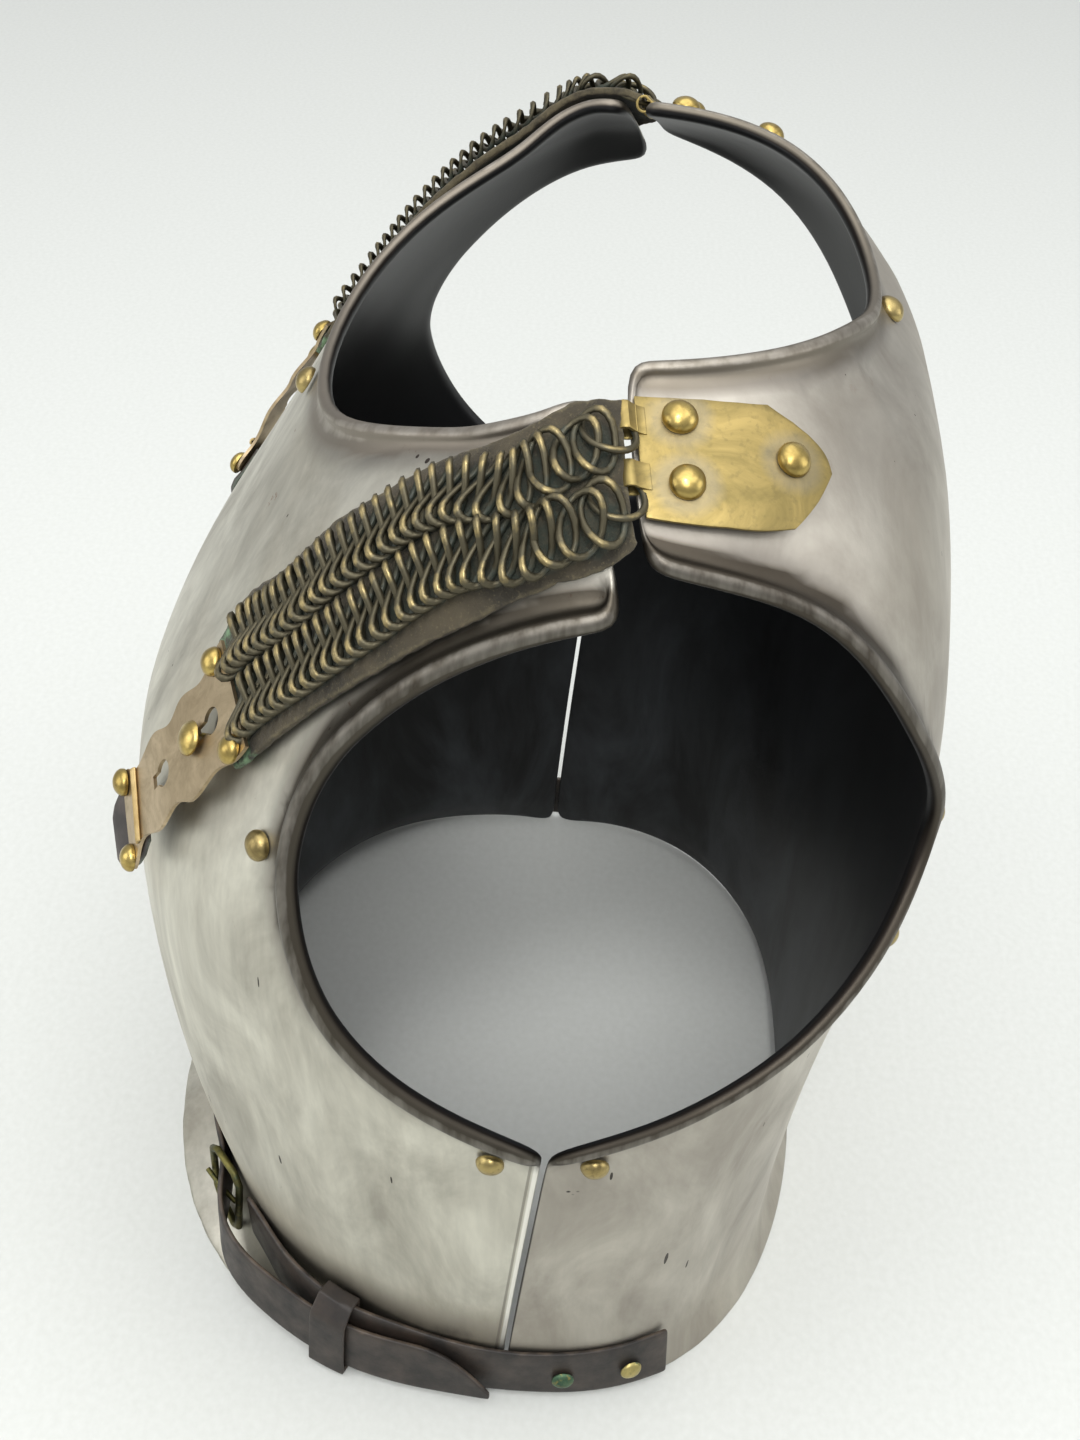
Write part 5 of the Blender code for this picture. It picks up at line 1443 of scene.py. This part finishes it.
class CUIRASS_OT_chains(bpy.types.Operator):
    """Two rows of twisted curb links on each shoulder strap"""

    bl_idname = "cuirass.chains"
    bl_label = "Strap chains"

    def execute(self, context):
        size = sizes()
        pattern = curb_link(size.link_length, size.link_width, size.link_wire, size.link_twist, LINK_SLANT)
        open_link = curb_link(
            size.link_length * 1.35, size.link_width * 0.95, size.link_wire, size.link_twist * 0.8,
            OPEN_LINK_SLANT,
        )
        ring = curb_link(*END_RING_SHAPE, around=32)
        for line, label in enumerate(("arm", "neck")):
            rise = size.strap_leather + size.link_twist * 0.8 + size.link_wire
            places, runs = chain_route(line, rise)
            low, high, lug_rise = TONGUE_LUGS[line]
            root, ahead, up = lug_frame(low, high)
            hub = root + ahead * LUG_RUN + up * (lug_rise * LUG_LIFT - LUG_ROLL)
            # The links stop a ring's length short of the lug, the last two pulled apart.
            end = min(
                [run for run, place in zip(runs, places) if (place - hub).length < END_RING] + [runs[-1]]
            )
            regular = end - 2 * LAST_PITCH
            count = round(regular / size.link_pitch)
            stations = [regular * number / count for number in range(count + 1)]
            stations += [regular + LAST_PITCH, end]
            links = []
            for number, at in enumerate(stations):
                i = min(max(bisect.bisect_left(runs, at), 1), len(runs) - 2)
                tangent = (places[i + 1] - places[i - 1]).normalized()
                share = CHAIN_SHARES[0] + (CHAIN_SHARES[1] - CHAIN_SHARES[0]) * i / (len(runs) - 1)
                across = chain_line(line, share)
                side = (
                    strap_point(share, min(across + 0.1, 1.0), 0.0) - strap_point(share, across - 0.1, 0.0)
                ).normalized()
                way = tangent.cross(side).normalized()
                if way.dot(outward(places[i])) < 0:
                    way.negate()
                side = way.cross(tangent)
                wobble = 0.10 * noise.noise(Vector((number * 1.7, line * 9.0, 0)))
                turned = Matrix((tangent, side, way)).transposed().to_4x4() @ Matrix.Rotation(wobble, 4, "Z")
                shape = open_link if number > len(stations) - 4 else pattern
                links.append(own_copy(shape, "curb_link", Matrix.Translation(places[i]) @ turned))
            # The end ring hangs the row on its lug, and starts at the last link's place.
            along = (hub - places[i]).normalized()
            side = up.cross(along).normalized()
            up = along.cross(side)
            turned = Matrix((along, side, up)).transposed().to_4x4()
            links.append(own_copy(ring, "end_ring", Matrix.Translation(hub - along * END_RING_BACK) @ turned))
            chain = joined(f"curb_chain_{label}_left", links)
            dress(chain, finish_of("chain_brass"))
            settle_pair(chain, "brass", f"chain_{label}")
        for shape in (pattern, open_link, ring):
            bpy.data.objects.remove(shape)
        return {"FINISHED"}


def keyhole_cutter(hole, slot_end):
    """A round hole toward the strap and a slot toward the tip, as two upright cutters."""
    place, way, _ = hook_frame(hole)
    ahead = hook_point(slot_end, 0.0, 0.0) - place
    ahead = (ahead - way * ahead.dot(way)).normalized()
    side = way.cross(ahead)
    upright = Matrix.Translation(place) @ Matrix((ahead, side, way)).transposed().to_4x4()
    through = 0.03
    deselect()
    bpy.ops.mesh.primitive_cylinder_add(vertices=32, radius=KEYHOLE_RADIUS, depth=through)
    round_part = bpy.context.object
    round_part.data.transform(upright)
    deselect()
    bpy.ops.mesh.primitive_cube_add(size=1.0)
    slot = bpy.context.object
    run = slot_end - hole
    slot.data.transform(
        upright
        @ Matrix.Translation((run / 2, 0, 0))
        @ Matrix.Diagonal((run, KEYHOLE_SLOT, through, 1.0))
    )
    return round_part, slot


class CUIRASS_OT_hook_plates(bpy.types.Operator):
    """Keyhole plates on the breast, with crossbar, rivets, button and pull tab"""

    bl_idname = "cuirass.hook_plates"
    bl_label = "Hook plates"

    def execute(self, context):
        first, last = HOOK_STATIONS[0][0], HOOK_STATIONS[-1][0]

        def sheet_point(along, across):
            """A point of the plate's underside; its tip's corners are rounded."""
            station = first + (last - first) * along
            end = smooth_step(0.965, 1.0, along)
            aside = 2 * across - 1
            return hook_point(
                station - 0.0015 * end * abs(aside) ** 3,
                aside * HOOK_HALF(station) * (1 - 0.06 * end),
                HOOK_LIFT(station),
            )

        sheet = bent_sheet("hook_sheet", 110, 20, sheet_point)
        apply_modifier(sheet, "SOLIDIFY", thickness=BRASS_SHEET, offset=1.0)
        for hole, slot_end in KEYHOLES:
            for cutter in keyhole_cutter(hole, slot_end):
                apply_modifier(sheet, "BOOLEAN", object=cutter, operation="DIFFERENCE", solver="EXACT")
                bpy.data.objects.remove(cutter)
        # The raised crossbar folds over the narrow of the plate, just short of the tip rivets.
        bar_reach = HOOK_HALF(CROSSBAR_AT) + 0.0002
        bar_lift = HOOK_LIFT(CROSSBAR_AT) + BRASS_SHEET * 0.9
        bar = bent_sheet(
            "hook_crossbar", 4, 24,
            lambda along, across: hook_point(
                CROSSBAR_AT + (along - 0.5) * CROSSBAR_WIDTH,
                (2 * across - 1) * bar_reach,
                bar_lift + 0.0007 * math.sin(math.pi * along),
            ),
        )
        thicken(bar, CROSSBAR_SHEET, 0.0003)
        for piece in (bar, sheet):
            dress(piece, finish_of("hook_bronze"), finish_of("bar_brass"))
        for face in bar.data.polygons:
            face.material_index = 1
        plate = joined("keyhole_plate_left", [sheet, bar])
        soft_shading(plate, 35)
        settle_pair(plate, "brass", "hook_plate")

        pattern = domed_head(sizes().rivet_radius * HOOK_RIVET_SHARE, sizes().rivet_height, 0.02)
        for label, station, across in (
            ("strap_arm", 0.0, STRAP_RIVETS), ("strap_neck", 0.0, -STRAP_RIVETS),
            ("tip_arm", HOOK_LENGTH, TIP_RIVETS), ("tip_neck", HOOK_LENGTH, -TIP_RIVETS),
        ):
            place = hook_point(station, across, HOOK_LIFT(station) + BRASS_SHEET + 0.0001)
            head_pair(
                pattern, f"hook_rivet_{label}", place, hook_frame(station)[1],
                finish_of("rivet_brass"), "brass"
            )
        bpy.data.objects.remove(pattern)

        # The breast button: a domed head on a plain stem.
        button = domed_head(BUTTON_RADIUS, BUTTON_DOME, 0.04)
        button.data.transform(Matrix.Translation((0, 0, BUTTON_STEM_LENGTH - 0.0002)))
        deselect()
        bpy.ops.mesh.primitive_cylinder_add(
            vertices=24, radius=BUTTON_STEM_RADIUS, depth=BUTTON_STEM_LENGTH,
            location=(0, 0, BUTTON_STEM_LENGTH / 2),
        )
        stem = bpy.context.object
        stem.data.transform(stem.matrix_world)
        stem.matrix_world = Matrix.Identity(4)
        button = joined("breast_button_pattern", [button, stem])
        place, way, _ = hook_frame(STUD_AT)
        head_pair(button, "breast_stud", place + way * 0.0003, way, finish_of("rivet_brass"), "brass")
        bpy.data.objects.remove(button)

        first, last = TAB_STATIONS[0][0], TAB_STATIONS[-1][0]

        def tab_point(along, across):
            station = first + (last - first) * along
            half, lift = read_off(TAB_STATIONS, station)
            return hook_point(station, (2 * across - 1) * half, lift)

        tab = bent_sheet("leather_pull_tab_left", 24, 14, tab_point)
        thicken(tab, TAB_LEATHER, 0.0006)
        border = [tab_point(i / 40, row) for i in range(41) for row in (0.0, 1.0)]
        border += [tab_point(1.0, i / 12) for i in range(13)]
        edge_mask(tab, 0.0025, border)
        soft_shading(tab, 50)
        dress(tab, finish_of("tab_leather"))
        settle_pair(tab, "suede", "pull_tab")
        return {"FINISHED"}


def belt_sheet(name, stations, tip=None):
    """A belt strap as a few wide squares, which are then thickened and smoothed."""
    turns = [row[0] for row in stations]
    columns = len(stations) - 1 + (1 if tip else 0)

    def place(along, across):
        index = round(along * columns)
        if tip and index == columns:
            turn, height, off = tip
            return belt_point(turn, height, off) + Vector((0, 0, (across - 0.5) * 0.004))
        height, low_off, high_off = stations[index][1:]
        low = belt_point(turns[index], height, low_off)
        high = belt_point(turns[index], height + BELT_WIDTH, high_off)
        return low.lerp(high, across)

    strap = bent_sheet(name, columns, 4, place)
    border = []
    for step in range(columns * 6 + 1):
        at = step / 6
        low = min(int(at), columns - 1)
        for side in (0.0, 1.0):
            border.append(place(low / columns, side).lerp(place((low + 1) / columns, side), at - low))
    border += [place(end, i / 8) for end in (0.0, 1.0) for i in range(9)]
    apply_modifier(strap, "SOLIDIFY", thickness=BELT_LEATHER, offset=1.0, use_even_offset=True)
    apply_modifier(
        strap, "BEVEL", width=sizes().belt_rounding, segments=1, limit_method="ANGLE",
        angle_limit=math.radians(60)
    )
    apply_modifier(strap, "SUBSURF", levels=2, render_levels=2)
    edge_mask(strap, 0.0032, border)
    soft_shading(strap, 60)
    dress(strap, finish_of("belt_leather"))
    return strap


def keeper_loop(turn):
    """The corners of the keeper's inside there, round both straps."""
    height, low_off, high_off = read_off(BELT_LEFT, turn)
    low = belt_point(turn, height, low_off)
    high = belt_point(turn, height + BELT_WIDTH, high_off)
    height, low_off, high_off = read_off(BELT_RIGHT, turn)
    outer_low = belt_point(turn, height, low_off)
    outer_high = belt_point(turn, height + BELT_WIDTH, high_off)
    way = waist_way(turn)
    up = Vector((0, 0, 1))
    room = KEEPER_ROOM
    return (
        low - way * room - up * room,
        high - way * room + up * room,
        high + way * (BELT_LEATHER + room) + up * room,
        outer_high + way * (BELT_LEATHER + room) + up * room,
        outer_low + way * (BELT_LEATHER + room) - up * room * 0.5,
        outer_low - way * room - up * room * 0.5,
    )


class CUIRASS_OT_waist_belt(bpy.types.Operator):
    """The waist belt's two straps, their rivets and the keeper"""

    bl_idname = "cuirass.waist_belt"
    bl_label = "Waist belt"

    def execute(self, context):
        settle(belt_sheet("bridle_strap_left", BELT_LEFT), "belt_leather", "waist_strap_left")
        settle(belt_sheet("bridle_strap_right", BELT_RIGHT, BELT_TIP), "belt_leather", "waist_strap_right")
        loops = [keeper_loop(turn) for turn in KEEPER_TURNS]

        def keeper_point(along, across):
            """Around the loop, and from its front end to its back end."""
            at = along * 6
            index, share = int(at) % 6, at - int(at)
            end = min(across * 2, 1.999)
            side = int(end)
            ring = [a.lerp(b, end - side) for a, b in zip(loops[side], loops[side + 1])]
            middle = sum(ring, Vector()) / 6
            out = (ring[index] - middle).normalized() * 0.0004
            return ring[index].lerp(ring[(index + 1) % 6], share) + out

        keeper = bent_sheet("keeper_band", 24, 8, keeper_point)
        edit_all(
            keeper, (bpy.ops.mesh.remove_doubles, {"threshold": 0.0001}),
            (bpy.ops.mesh.normals_make_consistent, {"inside": False})
        )
        thicken(keeper, KEEPER_LEATHER - 0.0004, 0.0005)
        apply_modifier(keeper, "SUBSURF", levels=1, render_levels=1)
        edge_mask(keeper, 0.0020, [keeper_point(i / 60, end) for i in range(61) for end in (0.0, 1.0)])
        soft_shading(keeper, 60)
        dress(keeper, finish_of("belt_leather"))
        settle(keeper, "belt_leather", "belt_keeper")
        pattern = domed_head(BELT_RIVET_RADIUS, BELT_RIVET_HEIGHT, 0.03)
        for i, (turn, height) in enumerate(BELT_RIVETS):
            place, way = belt_face(BELT_LEFT, turn, height)
            head_pair(
                pattern, f"belt_rivet_{i + 1}", place + way * 0.0003, way,
                finish_of("belt_rivet" if i else "worn_belt_rivet"), "brass"
            )
        bpy.data.objects.remove(pattern)
        return {"FINISHED"}


def wire_along(name, places, radius, closed):
    """A round wire along these places, as a mesh."""
    curve = bpy.data.curves.new(name, "CURVE")
    curve.dimensions = "3D"
    curve.bevel_depth = radius
    curve.bevel_resolution = 4
    curve.use_fill_caps = not closed
    spline = curve.splines.new("POLY")
    spline.points.add(len(places) - 1)
    for target, place in zip(spline.points, places):
        target.co = (*place, 1.0)
    spline.use_cyclic_u = closed
    wire = bpy.data.objects.new(name, curve)
    bpy.context.scene.collection.objects.link(wire)
    pick(wire)
    bpy.ops.object.convert(target="MESH")
    wire = bpy.context.object
    edit_all(
        wire, (bpy.ops.mesh.remove_doubles, {"threshold": 0.00001}),
        (bpy.ops.mesh.normals_make_consistent, {"inside": False})
    )
    soft_shading(wire, 50)
    return wire


class CUIRASS_OT_buckle(bpy.types.Operator):
    """The buckle's frame, with clipped corners, and its prong"""

    bl_idname = "cuirass.buckle"
    bl_label = "Waist buckle"

    def execute(self, context):
        wire = BUCKLE_WIRE
        rear, rear_low, rear_high = BUCKLE_REAR
        front, front_low, front_high = BUCKLE_FRONT
        rear_off, front_off = wire + 0.0006, wire + BELT_LEATHER + 0.0022
        corners = (
            belt_point(rear, rear_low, rear_off),
            belt_point(rear, rear_high, rear_off),
            belt_point(front, front_high, front_off),
            belt_point(front, front_low, front_off),
        )
        places = []
        for i, corner in enumerate(corners):
            before = corners[i - 1] - corner
            after = corners[(i + 1) % 4] - corner
            for way in (before, after):
                places.append(corner + way.normalized() * BUCKLE_CLIP)
        frame_wire = wire_along("cast_buckle_frame", places, wire, True)
        dress(frame_wire, finish_of("buckle_brass"))
        settle(frame_wire, "brass", "waist_buckle")
        back = corners[0].lerp(corners[1], 0.48)
        ahead = corners[2].lerp(corners[3], 0.52)
        way = waist_way(front)
        start = back + (ahead - back).normalized() * (wire + 0.0016)
        end = ahead + way * (wire + 0.0016)
        prong = wire_along(
            "drawn_buckle_prong",
            [start.lerp(end, i / 8) + way * 0.0004 * math.sin(math.pi * i / 8) for i in range(9)],
            PRONG_WIRE, False
        )
        dress(prong, finish_of("buckle_brass"))
        settle(prong, "brass", "buckle_prong")
        return {"FINISHED"}


class CUIRASS_OT_stage(bpy.types.Operator):
    """Pale seamless floor, soft lights and the camera"""

    bl_idname = "cuirass.stage"
    bl_label = "Stage"

    def execute(self, context):
        scene = context.scene
        deselect()
        bpy.ops.mesh.primitive_plane_add(size=FLOOR_SIZE, location=(0, 0, 0))
        floor = bpy.context.object
        floor.name = "seamless_floor"
        dress(floor, backdrop_finish(colours().paper))
        for name, place, target, size, power in SOFTBOXES:
            lamp = bpy.data.lights.new(name, "AREA")
            lamp.shape = "SQUARE"
            lamp.size = size
            lamp.energy = power
            pointed(name, lamp, place, target)
        beam = bpy.data.lights.new("arm_hole_beam", "SPOT")
        beam.energy = BEAM_POWER
        beam.spot_size = math.radians(BEAM_DEGREES)
        beam.spot_blend = 0.8
        beam.shadow_soft_size = BEAM_RADIUS
        pointed("arm_hole_beam", beam, BEAM_PLACE, BEAM_TARGET)
        world = bpy.data.worlds.new("Soft room")
        world.use_nodes = True
        tree = world.node_tree
        tree.nodes.clear()
        way = add_node(tree, "ShaderNodeTexCoord").outputs["Generated"]
        height = add_node(tree, "ShaderNodeSeparateXYZ", {0: way})
        rise = add_node(tree, "ShaderNodeMapRange", {0: height.outputs["Z"], 1: -0.1, 2: 0.8})
        glow = add_node(
            tree, "ShaderNodeMix", {0: rise.outputs[0], 6: linear("#B9BBBE"), 7: linear("#F2F3F5")},
            data_type="RGBA"
        )
        sky = add_node(tree, "ShaderNodeBackground", {"Color": glow.outputs[2], "Strength": 0.9})
        add_node(tree, "ShaderNodeOutputWorld", {"Surface": sky.outputs[0]})
        scene.world = world
        scene.view_settings.view_transform = "Standard"

        lens = bpy.data.cameras.new("eye_level_camera")
        lens.sensor_fit = "AUTO"
        lens.sensor_width = 36.0
        lens.lens = CAMERA_LENS
        lens.clip_start = 0.01
        camera = bpy.data.objects.new("eye_level_camera", lens)
        scene.collection.objects.link(camera)
        yaw, pitch, roll = CAMERA_TURNS
        look = Vector((-math.cos(pitch) * math.cos(yaw), math.cos(pitch) * math.sin(yaw), math.sin(pitch)))
        level = look.cross(Vector((0, 0, 1))).normalized()
        upward = level.cross(look)
        right = level * math.cos(roll) + upward * math.sin(roll)
        up = upward * math.cos(roll) - level * math.sin(roll)
        pose = Matrix((right, up, -look)).transposed().to_4x4()
        camera.matrix_world = Matrix.Translation(CAMERA_PLACE) @ pose
        scene.camera = camera
        return {"FINISHED"}


class CUIRASS_PT_panel(bpy.types.Panel):
    """Lists the cuirass's pieces, sizes and colours"""

    bl_idname = "CUIRASS_PT_panel"
    bl_label = "Cavalry cuirass"
    bl_space_type = "VIEW_3D"
    bl_region_type = "UI"
    bl_category = "Cuirass"

    def draw(self, context):
        for operator in PIECES:
            self.layout.operator(operator.bl_idname)
        for group in (context.scene.cuirass_sizes, context.scene.cuirass_colours):
            column = self.layout.column()
            for key in group.__annotations__:
                column.prop(group, key)


PIECES = (
    CUIRASS_OT_plates, CUIRASS_OT_studs, CUIRASS_OT_tongue_plates, CUIRASS_OT_strap_leathers,
    CUIRASS_OT_chains, CUIRASS_OT_hook_plates, CUIRASS_OT_waist_belt, CUIRASS_OT_buckle, CUIRASS_OT_stage,
)
CLASSES = (CuirassSizes, CuirassColours, *PIECES, CUIRASS_PT_panel)


def register():
    for entry in CLASSES:
        bpy.utils.register_class(entry)
    bpy.types.Scene.cuirass_sizes = bpy.props.PointerProperty(type=CuirassSizes)
    bpy.types.Scene.cuirass_colours = bpy.props.PointerProperty(type=CuirassColours)


def unregister():
    del bpy.types.Scene.cuirass_colours
    del bpy.types.Scene.cuirass_sizes
    for entry in reversed(CLASSES):
        bpy.utils.unregister_class(entry)


def main():
    register()
    bpy.ops.cuirass.plates()
    bpy.ops.cuirass.studs()
    bpy.ops.cuirass.tongue_plates()
    bpy.ops.cuirass.strap_leathers()
    bpy.ops.cuirass.chains()
    bpy.ops.cuirass.hook_plates()
    bpy.ops.cuirass.waist_belt()
    bpy.ops.cuirass.buckle()
    bpy.ops.cuirass.stage()
    deselect()


if __name__ == "__main__":
    main()
